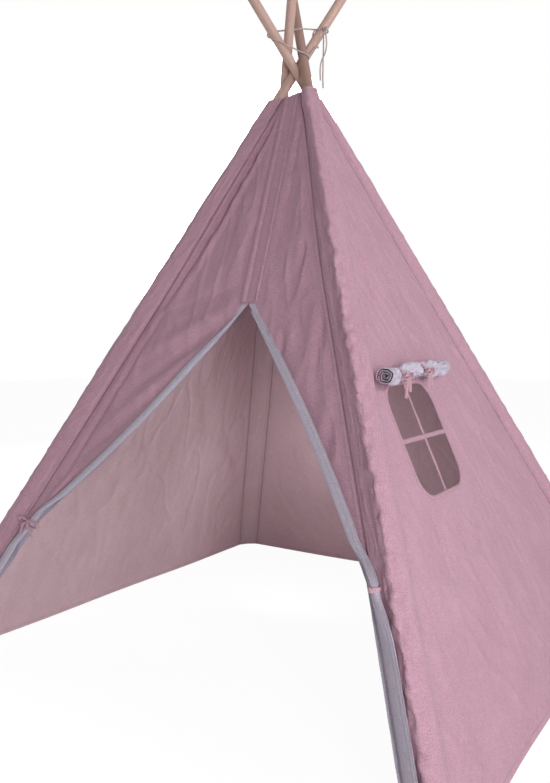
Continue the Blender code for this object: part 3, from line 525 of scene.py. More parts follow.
def spots(made):
    found = np.empty(len(made.data.vertices) * 3)
    made.data.vertices.foreach_get("co", found)
    return found.reshape(-1, 3)


def move(made, places):
    made.data.vertices.foreach_set("co", np.ravel(places))
    made.data.update()
    return made


def grid(name, columns, rows):
    """A flat grid that will be laid out as cloth or cord."""
    bpy.ops.object.select_all(action="DESELECT")
    bpy.ops.mesh.primitive_grid_add(x_subdivisions=columns, y_subdivisions=rows, size=1, location=(0, 0, 0))
    made = bpy.context.object
    made.name = made.data.name = name
    return made


def cells(made, columns, rows):
    """The column and row of each of the grid's points, and 1 on its face side."""
    found = spots(made)
    column = np.rint((found[:, 0] + 0.5) * columns).astype(int)
    row = np.rint((found[:, 1] + 0.5) * rows).astype(int)
    return column, row, np.sign(found[:, 2])


def pattern(name, columns, rows):
    """A doubled grid for cloth, with the column, row and side of each of its points."""
    made = grid(name, columns, rows)
    thickness = made.modifiers.new("thickness", "SOLIDIFY")
    thickness.thickness = 0.1
    thickness.offset = 0
    thickness.material_offset = 1
    thickness.material_offset_rim = 0
    made.data.materials.append(None)
    made.data.materials.append(None)
    bpy.ops.object.modifier_apply(modifier=thickness.name)
    return made, *cells(made, columns, rows)


def chart(made, name, across, along):
    """A map in metres for the weave or for the stitching."""
    layer = made.data.uv_layers.get(name) or made.data.uv_layers.new(name=name)
    corners = np.empty(len(made.data.loops), int)
    made.data.loops.foreach_get("vertex_index", corners)
    layer.data.foreach_set("uv", np.ravel(np.stack([across[corners], along[corners]], 1)))


def charts(made, across, along, from_seam=None, from_hem=None):
    chart(made, "cloth", across, along)
    far = np.ones(len(across))
    chart(made, "edges", far if from_seam is None else from_seam, far if from_hem is None else from_hem)
    old = made.data.uv_layers.get("UVMap")
    if old:
        made.data.uv_layers.remove(old)


def close_round(made, merge=0.00002):
    """Joins a strip's first edge to its last."""
    alone(made)
    bpy.ops.object.mode_set(mode="EDIT")
    bpy.ops.mesh.select_all(action="SELECT")
    bpy.ops.mesh.remove_doubles(threshold=merge)
    bpy.ops.object.mode_set(mode="OBJECT")


def drop_faces(made, doomed):
    """Deletes the faces whose corners are all marked."""
    alone(made)
    bpy.ops.object.mode_set(mode="EDIT")
    bpy.ops.mesh.select_all(action="DESELECT")
    bpy.ops.mesh.select_mode(type="FACE")
    bpy.ops.object.mode_set(mode="OBJECT")
    for face in made.data.polygons:
        face.select = all(doomed[v] for v in face.vertices)
    bpy.ops.object.mode_set(mode="EDIT")
    bpy.ops.mesh.delete(type="ONLY_FACE")
    bpy.ops.object.mode_set(mode="OBJECT")


def face_out(made):
    """Turns the piece right side out and shades it smooth, with its edges crisp."""
    alone(made)
    made.data.calc_loop_triangles()
    corners = np.empty(len(made.data.loop_triangles) * 3, int)
    made.data.loop_triangles.foreach_get("vertices", corners)
    a, b, c = spots(made)[corners.reshape(-1, 3)].transpose(1, 0, 2)
    if dot(a, np.cross(b, c)).sum() < 0:
        made.data.flip_normals()
    bpy.ops.object.shade_smooth_by_angle(angle=math.radians(55))
    return made


def dress(made, *finishes):
    """Gives the piece its finishes: the first for its face, the second for its reverse."""
    while len(made.data.materials) < len(finishes):
        made.data.materials.append(None)
    for index, finish in enumerate(finishes):
        made.data.materials[index] = finish
    return made


def follow(made, side, corner):
    """Works out each point's share between the middle line and this corner's seam, then puts the cloth back
    where it hung.
    """
    hung = spots(made).copy()
    shares = np.zeros_like(hung)
    even = np.clip(side.share(corner, hung), 0, 1)
    shares[:, 0] = 0.5 - np.sin(np.arcsin(1 - 2 * even) / 3)
    move(made, shares)
    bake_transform(made)
    return move(made, hung)


# Finishes


class Wire:
    """A number or colour in a finish, for sums."""

    def __init__(self, finish, socket):
        self.finish, self.socket = finish, socket

    def sum(self, operation, *values):
        return self.finish.add("ShaderNodeMath", {"operation": operation}, dict(enumerate(values)))[0]

    def __add__(self, other):
        return self.sum("ADD", self, other)

    def __sub__(self, other):
        return self.sum("SUBTRACT", self, other)

    def __rsub__(self, other):
        return self.sum("SUBTRACT", other, self)

    def __mul__(self, other):
        return self.sum("MULTIPLY", self, other)

    def __truediv__(self, other):
        return self.sum("DIVIDE", self, other)

    def __pow__(self, other):
        return self.sum("POWER", self, other)

    def __abs__(self):
        return self.sum("ABSOLUTE", self)

    __radd__ = __add__
    __rmul__ = __mul__

    def sine(self):
        return self.sum("SINE", self)

    def limit(self):
        """Held between 0 and 1."""
        return self.sum("MINIMUM", self.sum("MAXIMUM", self, 0), 1)

    def step(self, start, end):
        """From 0 at start to 1 at end, softly."""
        inputs = {"Value": self, "From Min": start, "From Max": end}
        return self.finish.add("ShaderNodeMapRange", {"interpolation_type": "SMOOTHSTEP"}, inputs)[0]


# A colour mix's share and two colours, and its result
MIX_INPUTS = (0, 6, 7)
MIX_RESULT = 2


class Finish:
    """A material that is written as sums."""

    def __init__(self, name, roughness, metallic=0, sheen=0):
        self.material = bpy.data.materials.new(name)
        self.material.use_nodes = True
        self.tree = self.material.node_tree
        self.shader = self.tree.nodes["Principled BSDF"]
        self.shader.inputs["Roughness"].default_value = roughness
        self.shader.inputs["Metallic"].default_value = metallic
        self.shader.inputs["Sheen Weight"].default_value = sheen
        self.shader.inputs["Specular IOR Level"].default_value = 0.5 if metallic else 0.2

    def give(self, socket, value):
        if isinstance(value, Wire):
            self.tree.links.new(value.socket, socket)
        else:
            socket.default_value = value

    def add(self, kind, settings, inputs):
        node = self.tree.nodes.new(kind)
        for name, value in settings.items():
            setattr(node, name, value)
        for name, value in inputs.items():
            self.give(node.inputs[name], value)
        return [Wire(self, socket) for socket in node.outputs if socket.enabled]

    def feed(self, name, wire):
        self.give(self.shader.inputs[name], wire)

    def mix(self, share, a, b):
        """One colour over another, by a share from 0 to 1."""
        def full(value):
            return (*value, 1) if isinstance(value, tuple) else value
        node = self.tree.nodes.new("ShaderNodeMix")
        node.data_type = "RGBA"
        for index, value in zip(MIX_INPUTS, (share, full(a), full(b))):
            self.give(node.inputs[index], value)
        return Wire(self, node.outputs[MIX_RESULT])

    def own_place(self):
        return Wire(self, self.tree.nodes.new("ShaderNodeTexCoord").outputs["Object"])

    def place(self, chart_name=None):
        """The three numbers of a chart in metres, or of the piece's own place."""
        if chart_name:
            spot = self.add("ShaderNodeUVMap", {"uv_map": chart_name}, {})[0]
        else:
            spot = self.own_place()
        return self.add("ShaderNodeSeparateXYZ", {}, {0: spot})

    def cloud(self, x, y, z, detail=2, roughness=0.5):
        """Soft noise from 0 to 1 at a place."""
        spot = self.add("ShaderNodeCombineXYZ", {}, {0: x, 1: y, 2: z})[0]
        inputs = {"Vector": spot, "Scale": 1, "Detail": detail, "Roughness": roughness}
        return self.add("ShaderNodeTexNoise", {}, inputs)[0]

    def bump(self, height, distance, strength=1):
        inputs = {"Height": height, "Distance": distance, "Strength": strength}
        self.feed("Normal", self.add("ShaderNodeBump", {}, inputs)[0])


def band(value, place, half):
    """1 at this place and 0 half away from it."""
    return 1 - abs(value - place).step(0, half)


# Where the rows of stitches run, from the seam and from the hem
STITCHES_NEAR = 0.0030
STITCHES_FAR = 0.0090
HEM_STITCHES = 0.0105
STITCH_HALF = 0.0009
GROOVE_HALF = 0.0022
STITCH_WAVE = 2100


def canvas(name, colour, shadow, thread, roughness=0.88, painted_seam_shade=0.6):
    """Matt cotton canvas: threads both ways, faint mottling, rows of stitches at its edges, and painted shade
    in the stitch grooves and along the sewn seams.
    """
    made = Finish(name, roughness, sheen=0.10)
    across, along, _ = made.place("cloth")
    from_seam, from_hem, _ = made.place("edges")
    warp = made.cloud(across * 1500, along * 110, 1.0)
    weft = made.cloud(across * 110, along * 1500, 5.0)
    weave = (warp + weft) / 2
    slubs = made.cloud(across * 800, along * 60, 12.0) + made.cloud(across * 60, along * 800, 14.0) - 1
    mottle = made.cloud(across * 13, along * 8, 9.0, 4, 0.6)
    speckle = made.cloud(across * 620, along * 560, 3.0, 2)
    tone = (weave - 0.5) * 2.0 + (mottle - 0.5) * 0.7 + (speckle - 0.5) * 3.0 + slubs * 1.2 + 0.5
    cloth = made.mix(tone.limit(), tuple(shadow), tuple(colour))
    dashes = ((along * STITCH_WAVE).sine() * 3 + 0.5).limit()
    dashes_across = ((across * STITCH_WAVE).sine() * 3 + 0.5).limit()
    rows = (band(from_seam, STITCHES_NEAR, STITCH_HALF) + band(from_seam, STITCHES_FAR, STITCH_HALF)) * dashes
    rows = rows + band(from_hem, HEM_STITCHES, STITCH_HALF) * dashes_across
    rows = rows.limit()
    grooves = band(from_seam, STITCHES_NEAR, GROOVE_HALF) + band(from_seam, STITCHES_FAR, GROOVE_HALF)
    grooves = grooves + band(from_hem, HEM_STITCHES, GROOVE_HALF)
    near = 1 - from_seam.step(0.002, 0.020)
    worn = (1 - from_hem.step(0, 0.0022)) * 0.35
    worn = (worn * made.cloud(across * 160, along * 160, 2.0)).limit()
    # Painted shade: a dark line along each sewn seam, where one piece meets the next; the bump sinks the same
    # line a little.
    sewn = (1 - from_seam.step(0.0006, 0.0026)) * painted_seam_shade
    cloth = made.mix(rows * 0.75, cloth, tuple(thread))
    # Painted shade in the grooves beside the stitch rows.
    cloth = made.mix((grooves * 0.16).limit(), cloth, tuple(0.62 * part for part in shadow))
    cloth = made.mix(worn, cloth, tuple(min(1, 1.18 * part) for part in colour))
    # Painted shade along the seams, from the mask above.
    cloth = made.mix(sewn, cloth, tuple(0.42 * part for part in shadow))
    made.feed("Base Color", cloth)
    made.feed("Roughness", roughness - 0.10 + weave * 0.2)
    pucker = made.cloud(across * 60, along * 240, 6.0) * near
    crumple = made.cloud(across * 55, along * 40, 21.0, 3, 0.6)
    height = weave * 0.30 + speckle * 0.30 + slubs * 0.20 - grooves * 0.8 + rows * 0.9
    height = height + pucker * 1.3 + crumple * 2.2 - sewn * 2
    made.bump(height, 0.0008, 0.9)
    return made.material


def tape(name, colour, shadow):
    """Woven tape: fine ribs across it and a firmer edge."""
    made = Finish(name, 0.75, sheen=0.10)
    across, along, _ = made.place("cloth")
    ribs = (along * 5200).sine() * 0.5 + 0.5
    threads = made.cloud(across * 2200, along * 150, 4.0)
    edge = band(abs(across), RIBBON_WIDTH / 2, 0.0009)
    tone = (ribs * 0.25 + threads * 0.9 - 0.1 + edge * 0.15).limit()
    made.feed("Base Color", made.mix(tone, tuple(shadow), tuple(colour)))
    made.feed("Roughness", 0.7 + threads * 0.15)
    made.bump(ribs * 0.5 + threads * 0.6 + edge * 0.6, 0.0003, 0.7)
    return made.material


def twine(name, colour, shadow):
    """Soft twisted cord: fibres that follow the twist, and painted shade in the lines between its strands."""
    made = Finish(name, 0.85, sheen=0.08)
    turn, along, _ = made.place("cloth")
    from_line, _, _ = made.place("edges")
    fibres = made.cloud(turn * 2600 + along * 700, along * 240, 8.0, 3)
    # Painted shade: darker where the strands meet, from the chart that is 0 between them.
    tone = (fibres * 1.1 - 0.05).limit() * from_line.step(0, 0.6)
    made.feed("Base Color", made.mix(tone, tuple(shadow), tuple(colour)))
    made.feed("Roughness", 0.78 + fibres * 0.14)
    made.bump(fibres, 0.0004, 0.7)
    return made.material


def wood(corner):
    """Planed softwood: long grain along the pole, a few darker streaks, tiny pores and rubbed spots."""
    made = Finish(f"wood_{corner}", 0.55)
    along, across, under = pole_frame(corner)
    turned = Matrix((across, under, along)).to_euler()
    spot = made.add("ShaderNodeMapping", {}, {"Vector": made.own_place(), "Rotation": tuple(turned)})[0]
    x, y, z = made.add("ShaderNodeSeparateXYZ", {}, {0: spot})
    drift = made.cloud(x * 30, y * 30, z * 3, 2) * 1.4
    grain = made.cloud(x * 260 + drift, y * 260 - drift, z * 5, 3)
    streak = made.cloud(x * 900, y * 900, z * 14, 2)
    pores = made.cloud(x * 2600, y * 2600, z * 90, 2).step(0.60, 0.72)
    rings = ((grain * 16 + drift * 2).sine() * 0.5 + 0.5) ** 2
    tone = (rings * 0.40 + grain * 0.55 + streak * 0.30 - 0.15).limit()
    body = made.mix(tone, (0.610, 0.430, 0.375), (0.440, 0.285, 0.235))
    rubbed = made.cloud(x * 55, y * 55, z * 16, 3).step(0.52, 0.75)
    body = made.mix(rubbed * 0.30, body, (0.64, 0.46, 0.385))
    body = made.mix(pores * 0.35, body, (0.30, 0.17, 0.12))
    if corner == "front_right":
        body = made.mix(0.68, body, (0.270, 0.155, 0.125))
    made.feed("Base Color", body)
    made.feed("Roughness", 0.46 + streak * 0.2 + pores * 0.1)
    made.bump(streak * 0.6 + rings * 0.25 - pores * 0.8, 0.0004, 0.5)
    return made.material


def drawn_steel():
    """Drawn steel tube: fine lines along it and a few faint rubs."""
    made = Finish("drawn_steel", 0.32, metallic=1)
    x, y, z = made.place()
    lines = made.cloud(x * 3000, y * 3000, z * 60, 2)
    rubs = made.cloud(x * 120, y * 120, z * 120, 3).step(0.5, 0.8)
    made.feed("Base Color", made.mix(rubs * 0.4, (0.62, 0.62, 0.64), (0.46, 0.455, 0.46)))
    made.feed("Roughness", 0.24 + lines * 0.14 + rubs * 0.14)
    made.bump(lines, 0.0001, 0.4)
    return made.material


PINK = (0.565, 0.342, 0.424)
PINK_DEEP = (0.395, 0.222, 0.284)
# The cloth's reverse as it shows inside the teepee, in the next two colours and the finish made from them, is
# painted much lighter than the same face where it is turned outwards: painted light that makes up for the
# shade inside.
INSIDE_PAINTED_LIGHTER = (0.830, 0.632, 0.676)
INSIDE_DEEP_PAINTED_LIGHTER = (0.640, 0.455, 0.500)
REVERSE = (0.570, 0.520, 0.620)
REVERSE_DEEP = (0.420, 0.375, 0.460)
CANVAS = canvas("canvas", PINK, PINK_DEEP, (0.640, 0.430, 0.510))
CANVAS_INSIDE_PAINTED_LIGHTER = canvas("canvas_inside_painted_lighter", INSIDE_PAINTED_LIGHTER, INSIDE_DEEP_PAINTED_LIGHTER, (0.72, 0.56, 0.60))
CANVAS_REVERSE = canvas("canvas_reverse", REVERSE, REVERSE_DEEP, (0.62, 0.50, 0.56), painted_seam_shade=0)
TAPE = tape("cotton_tape", (0.640, 0.415, 0.480), (0.520, 0.310, 0.375))
TWINE = twine("twisted_cord", (0.600, 0.500, 0.490), (0.380, 0.300, 0.295))


# Panels


def row_heights():
    """The heights of the cloth's rows, close together at the hems."""
    low = [0, 0.004, 0.012, HEM_HEIGHT - HEM_STEP / 2, HEM_HEIGHT + HEM_STEP / 2]
    high = [FABRIC_TOP - TOP_HEM_HEIGHT - HEM_STEP / 2, FABRIC_TOP - TOP_HEM_HEIGHT + HEM_STEP / 2]
    high += [FABRIC_TOP - 0.004, FABRIC_TOP]
    count = round((high[0] - low[-1]) / ROW_SPACING)
    return np.array(low + list(np.linspace(low[-1], high[0], count + 1)[1:-1]) + high)


ROWS = row_heights()
HALF_COLUMNS = 84
EDGE_COLUMNS = (0, 0.0015, 0.0060, 0.0105, 0.0120)


def half_width(side, height):
    """How wide a front half is: to the middle seam above the door, to the fold beside it."""
    middle = FRONT.middle(height)
    sewn = middle if side == "left" else FRONT.width(height) - middle
    at_apex = FRONT.middle(DOOR_APEX) if side == "left" else FRONT.width(DOOR_APEX) - FRONT.middle(DOOR_APEX)
    low = lerp(FOLD_AT_FLOOR[side], FOLD_AT_TIE[side], height / TIE_HEIGHT)
    share = np.clip((height - TIE_HEIGHT) / (DOOR_APEX - TIE_HEIGHT), 0, 1)
    beside = lerp(FOLD_AT_TIE[side], at_apex, share) + FOLD_BOW[side] * np.sin(math.pi * share)
    return np.where(height >= DOOR_APEX, sewn, np.where(height <= TIE_HEIGHT, low, beside))


def spread(columns, widths):
    """Distances from the seam for each column: close together at the seam, then even."""
    edge = np.array(EDGE_COLUMNS)[None, :] * np.minimum(1, col(widths) / 0.040)
    rest = np.linspace(0, 1, columns + 2 - len(EDGE_COLUMNS))[None, 1:]
    return np.concatenate([edge, edge[:, -1:] + (col(widths) - edge[:, -1:]) * rest], 1)


def from_hem(height):
    return np.minimum(height, FABRIC_TOP - height) * PANEL_SLOPE


def half_panel(name, side, corner, widths, columns=HALF_COLUMNS, turned_back=0):
    """Half of a side, from its seam at one corner to the middle line or to the fold beside the door."""
    made, column, row, face = pattern(name, columns, len(ROWS) - 1)
    beside = spread(columns, widths)[row, column]
    height = ROWS[row]
    full = side.width(height)
    tuck = SEAM_TUCK * (column == 0)
    distance = beside - tuck if corner == side.first else full - beside + tuck
    in_hem = (height < HEM_HEIGHT) | (height > FABRIC_TOP - TOP_HEM_HEIGHT)
    half = np.where(in_hem, HEM_HALF, CLOTH_HALF)
    half = np.maximum(half, np.where(beside < 0.0115, SEAM_HALF, 0))
    start, _, along, inward = side.row(height)
    middle = start + along * col(distance) - inward * col(side.relief(np.clip(distance, 0, full), height))
    move(made, middle - inward * col(face * half))
    charts(made, beside, height * PANEL_SLOPE, beside, from_hem(height))
    by_fold = (beside > widths[row] - turned_back) & (height < DOOR_APEX)
    for polygon in made.data.polygons:
        if turned_back and polygon.material_index == 0 and all(by_fold[v] for v in polygon.vertices):
            polygon.material_index = 2
    face_out(made)
    return made


def sheet_area(widths):
    """The flat cut's widest width, its length and its area, from the widths of the rows."""
    lengths = np.diff(ROWS) * PANEL_SLOPE
    area = float((lengths * (widths[1:] + widths[:-1]) / 2).sum())
    return (float(widths.max()), float(lengths.sum())), area


def sew_on(half, node, side, corner):
    """Runs follow for this half at its corner's seam and hides the CAD part that it stands for."""
    follow(half, side, corner)
    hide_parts(node)


def plain_halves(node, side, cut=None):
    widths = side.width(ROWS) / 2
    flat, area = sheet_area(widths)
    for corner in (side.first, side.second):
        half = half_panel(f"{node}_{corner}", side, corner, widths)
        if cut and corner == "front_right":
            cut(half)
        dress(half, CANVAS, CANVAS_INSIDE_PAINTED_LIGHTER)
        sew_on(half, node, side, corner)


def front_half(side):
    corner = f"front_{side}"
    widths = half_width(side, ROWS)
    flat, area = sheet_area(widths)
    half = half_panel(f"front_panel_{side}_cloth", FRONT, corner, widths, 60, TURNED_BACK)
    dress(half, CANVAS, CANVAS_INSIDE_PAINTED_LIGHTER, CANVAS_REVERSE)
    sew_on(half, f"front_panel_{side}", FRONT, corner)


# The placket over the middle seam, from the door's apex to the top: a folded band with raised edges
PLACKET_SHARES = (0, 0.03, 0.08, 0.16, 0.24, 0.29, 0.33, 0.38, 0.45, 0.60, 0.78, 0.88, 0.93, 0.97, 1)
PLACKET_RISES = (0.2, 2.4, 3.8, 4.2, 3.6, 2.0, 0.3, 0.4, 1.7, 1.9, 1.6, 2.6, 3.4, 2.6, 0.2)
PLACKET_RISE = 0.001


def placket():
    heights = ROWS[ROWS >= DOOR_APEX]
    made, column, row, face = pattern("placket_band_cloth", len(PLACKET_SHARES) - 1, len(heights) - 1)
    share, height = np.array(PLACKET_SHARES)[column], heights[row]
    distance = FRONT.middle(height) + (share - 0.5) * PLACKET_WIDTH
    wobble = rumple(share * 1.5, height * 14, 61.0) * 0.0005
    lift = CAD_HALF + np.where(face > 0, np.array(PLACKET_RISES)[column] * PLACKET_RISE + wobble, 0)
    move(made, FRONT.point(distance, height, lift))
    beside = np.minimum(share, 1 - share) * PLACKET_WIDTH + 0.0028
    charts(made, share * PLACKET_WIDTH, height * PANEL_SLOPE, beside, from_hem(height))
    face_out(made)
    dress(made, CANVAS, CANVAS_REVERSE)
    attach(made, "cover")
    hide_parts("placket_band")


# Sleeves


def sleeve_ring(corner, height):
    """The sleeve's outline at each height, as 14 points round it."""
    directions = panel_directions(corner, height)
    outward = -unit(directions[0] + directions[1])
    halves = []
    for panel in (0, 1):
        sideways = unit(directions[panel] - directions[1 - panel])
        seam_turn = np.degrees(np.arccos(dot(outward, directions[panel])))
        half = []
        for index, angle in enumerate(SLEEVE_ANGLES):
            if index == SEAM_INDEX:
                half.append(seam_point(corner, height, panel))
                continue
            if angle < SEAM_ANGLE:
                turn = np.radians(angle * seam_turn / SEAM_ANGLE)
            else:
                turn = np.radians(180 - (180 - angle) * (180 - seam_turn) / (180 - SEAM_ANGLE))
            body, top = SLEEVE_BODY_SHARES[index], SLEEVE_TOP_SHARES[index]
            if "front" in corner and panel == 0:
                side = corner.removeprefix("front_")
                top = FRONT_TOP_SHARES[side][index] if index < SEAM_INDEX else top
                formed = FRONT_BODY_SHARES[side][index] if index < SEAM_INDEX else body
                if side == "left":
                    formed = lerp(body, formed, rise(OVERHANG_FROM, OVERHANG_FULL, height))
                body = formed
            reach = lerp(SLEEVE_REACH_TOP * top, SLEEVE_REACH * body, fullness(height))
            spoke = outward * col(np.cos(turn)) + sideways * col(np.sin(turn))
            half.append(axis_at(corner, height) + spoke * col(reach))
        halves.append(half)
    return np.stack(halves[0] + halves[1][-2:0:-1], 1)


def smooth_ring(ring, steps, sharp):
    """More points round each ring, on smooth curves that are sharp at the seams."""
    count = ring.shape[1]
    found = []
    for i in range(count):
        a, b = ring[:, i], ring[:, (i + 1) % count]
        leave = b - a if i in sharp else (b - ring[:, i - 1]) / 2
        arrive = b - a if (i + 1) % count in sharp else (ring[:, (i + 2) % count] - a) / 2
        found += [between(a, b, leave, arrive, step / steps) for step in range(steps)]
    return np.stack(found, 1)


def sleeve_creases(corner, round_share, height, from_seam):
    """The loose sleeve's wrinkles: short folds across it, puckers by its seams and a slack outer edge."""
    seed = 71.0 + 13 * list(CORNERS).index(corner)
    turn_x, turn_y = np.cos(2 * math.pi * round_share), np.sin(2 * math.pi * round_share)
    def field(across, along, more):
        return np.array([
            noise.noise((x * across + more, y * across - more, z * along + seed))
            for x, y, z in zip(turn_x, turn_y, height)
        ])
    sharp = ridge(field(1.3, 26, 0.0), 5)
    puckers = field(1.7, 58, 4.0) * np.exp(-from_seam / 0.014)
    slack = field(0.7, 7, 9.0)
    calm = rise(0.0, 0.05, height) * rise(0.0, 0.03, FABRIC_TOP - height) * rise(0, 0.006, from_seam)
    made = 0.0016 * sharp + 0.0022 * puckers + 0.0024 * slack
    if corner == "front_right":
        from_ridge = np.abs((round_share - RIDGE_INDEX / 14 + 0.5) % 1 - 0.5)
        gathers = field(2.4, 62, 2.0) + 0.7 * field(3.0, 120, 3.0)
        gathers = np.sign(gathers) * np.abs(gathers) ** 0.7
        calmer_above = 1 - 0.75 * rise(0.80, 1.02, height)
        made = made + 0.0060 * gathers * np.exp(-((from_ridge / 0.055) ** 2)) * calmer_above
    return made * calm


def sleeve(corner):
    ring = smooth_ring(sleeve_ring(corner, ROWS), SLEEVE_STEPS, (SEAM_INDEX, 14 - SEAM_INDEX))
    ring = np.concatenate([ring, ring[:, :1]], 1)
    columns = ring.shape[1] - 1
    made, column, row, face = pattern(f"sleeve_{corner}_cloth", columns, len(ROWS) - 1)
    height = ROWS[row]
    round_share = column / columns
    lengths = np.linalg.norm(np.diff(ring, axis=1), axis=2)
    run = np.concatenate([np.zeros((len(ROWS), 1)), np.cumsum(lengths, 1)], 1)
    at = run[row, column]
    seams = [run[row, index * SLEEVE_STEPS] for index in (SEAM_INDEX, 14 - SEAM_INDEX)]
    from_seam = np.minimum(np.abs(at - seams[0]), np.abs(at - seams[1]))
    before, after = ring[row, (column - 1) % columns], ring[row, (column + 1) % columns]
    ahead = unit(after - before)
    normal = unit(np.cross(ahead, UP))
    spoke = ring[row, column] - axis_at(corner, height)
    normal = normal * col(np.sign(dot(normal, spoke)))
    at_cusp = np.isin(column, (SEAM_INDEX * SLEEVE_STEPS, (14 - SEAM_INDEX) * SLEEVE_STEPS))
    normal = np.where(col(at_cusp), unit(spoke), normal)
    half = np.where((height < HEM_HEIGHT) | (height > FABRIC_TOP - TOP_HEM_HEIGHT), HEM_HALF, CLOTH_HALF)
    inner = np.where(at_cusp, 2.5 * half, half)
    out = sleeve_creases(corner, round_share, height, from_seam) - half + np.where(face > 0, half, -inner)
    move(made, ring[row, column] + normal * col(out))
    charts(made, at, height * SLEEVE_SLOPE, from_seam, from_hem(height))
    within = (column >= SEAM_INDEX * SLEEVE_STEPS) & (column <= (14 - SEAM_INDEX) * SLEEVE_STEPS)
    for face in made.data.polygons:
        if all(within[v] for v in face.vertices):
            face.material_index = 1
    drop_faces(made, (column == 0) | (column == columns))
    close_round(made)
    face_out(made)
    dress(made, CANVAS, CANVAS_INSIDE_PAINTED_LIGHTER)
    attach(made, f"pole_{corner}")
    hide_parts(f"sleeve_{corner}")
    flat = (float(run[0, -1]), FABRIC_TOP * SLEEVE_SLOPE)
    area = float((run[1:, -1] + run[:-1, -1]).dot(np.diff(ROWS)) / 2 * SLEEVE_SLOPE)
    area = min(area, 0.999 * flat[0] * flat[1])


# The door's flaps


def flap_section(side, height):
    """How far the rolled flap's middle lies from the seam, its half width and depth, and its gathering."""
    gather = math.exp(-(((height - TIE_HEIGHT) / FLAP_GATHER_RUN) ** 2))
    tip = float(rise(0, FLAP_TIP_RUN, DOOR_APEX - FLAP_TIP - height))
    width = lerp(FLAP_TIP_HALF_WIDTH, lerp(FLAP_HALF_WIDTH, FLAP_GATHER, gather), tip)
    depth = lerp(FLAP_TIP_HALF_DEPTH, lerp(FLAP_HALF_DEPTH, FLAP_GATHER, gather), tip)
    if height > TIE_HEIGHT:
        at_fold = float(half_width(side, height)) + FLAP_OVERHANG - width
        shift = float(rise(TIE_HEIGHT, TIE_HEIGHT + FLAP_SHIFT_RUN, height))
        middle = lerp(FLAP_AT_TIE[side], at_fold, shift)
    else:
        shift = float(rise(TIE_HEIGHT - FLAP_SHIFT_RUN, TIE_HEIGHT, height))
        wider = TAIL_WIDER[side] * (1 - shift)
        middle = lerp(TAIL_AT_FLOOR[side], FLAP_AT_TIE[side], shift) - wider
        width = width + wider
    return middle, width, depth, gather


def flap_surface(side, height, distance):
    """How far out the panel and the sleeve reach at distances from the seam."""
    corner = f"front_{side}"
    outline = sleeve_ring(corner, np.array([height]))[0]
    directions = [found[0] for found in panel_directions(corner, np.array([height]))]
    along = directions[0]
    inward = unit(directions[1] - along * dot(directions[1], along))
    flat = [(dot(point - outline[SEAM_INDEX], along), -dot(point - outline[SEAM_INDEX], inward))
            for point in outline[: SEAM_INDEX + 1]]
    level = 0.0015 if height < HEM_HEIGHT + 0.003 else CAD_HALF
    on_sleeve = np.interp(distance, [x for x, _ in flat], [y for _, y in flat])
    return np.where(np.asarray(distance) >= 0, level, on_sleeve)


def flap_frame(side, height):
    """The rolled flap's middle, its directions across and out, its half width, half depth and gathering."""
    middle, width, depth, gather = flap_section(side, height)
    low, high = flap_surface(side, height, np.array((middle - width / 2, middle + width / 2)))
    tilt = math.atan2(high - low, width)
    turns = np.linspace(0, 2 * math.pi, 13)[:-1]
    x = middle + width * np.cos(turns) * math.cos(tilt) - depth * np.sin(turns) * math.sin(tilt)
    y = width * np.cos(turns) * math.sin(tilt) + depth * np.sin(turns) * math.cos(tilt)
    lift = (flap_surface(side, height, x) - y).max() + FLAP_CLEARANCE + (RIBBON_THICKNESS + 2 * GAP) * gather
    start, end, along, inward = FRONT.row(np.array(height))
    seam, direction = (start, along) if side == "left" else (end, -along)
    centre = seam + direction * middle - inward * lift
    across = direction * math.cos(tilt) - inward * math.sin(tilt)
    out = -direction * math.sin(tilt) - inward * math.cos(tilt)
    return centre, across, out, width, depth, gather


FLAP_FREE_EDGE = 150
FLAP_ROLLED = 520
FLAP_COLUMNS = 64
FLAP_ROWS = 120


def flap_heights():
    return np.linspace(FLAP_FOOT, DOOR_APEX - FLAP_TIP, FLAP_ROWS + 1)


def door_flap(side):
    """The free part of the door, rolled outwards so that its reverse shows, with its hemmed edge on top."""
    name = f"door_flap_{side}"
    heights = flap_heights()
    frames = [flap_frame(side, height) for height in heights]
    centre, across, out = (np.array([found[i] for found in frames]) for i in range(3))
    width, depth, gather = (np.array([found[i] for found in frames]) for i in range(3, 6))
    made, column, row, face = pattern(f"{name}_cloth", FLAP_COLUMNS, FLAP_ROWS)
    wound = FLAP_ROLLED * column / FLAP_COLUMNS
    turn = np.radians(FLAP_FREE_EDGE - wound)
    size = 1 - 0.30 * rise(200, 340, wound) - 0.16 * rise(400, 500, wound)
    height = heights[row]
    seed = 5.0 if side == "left" else 17.0
    wave = rumple(np.cos(turn) * 0.9 + wound / 700, height * 16, seed)
    folds = gather[row] * np.sin(5 * turn + 9 * height / 0.1) * 0.09
    size = size * (1 + folds) + wave * 0.035 * rise(0, 0.2, DOOR_APEX - height)
    inner = np.where(face > 0, 0, FLAP_CLOTH)
    x = (width[row] * size - inner) * np.cos(turn)
    y = (np.maximum(depth[row] * size - inner, 0.0002)) * np.sin(turn)
    move(made, centre[row] + across[row] * col(x) + out[row] * col(y))
    flat_across = np.radians(wound) * width[row] * 0.75
    edges = np.abs(flat_across) + 0.0006
    charts(made, flat_across, height * 1.2, edges, np.ones(len(height)))
    face_out(made)
    dress(made, CANVAS_REVERSE, CANVAS)
    follow(made, FRONT, f"front_{side}")
    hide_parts(name)
    return made


# Tapes, knots and bows


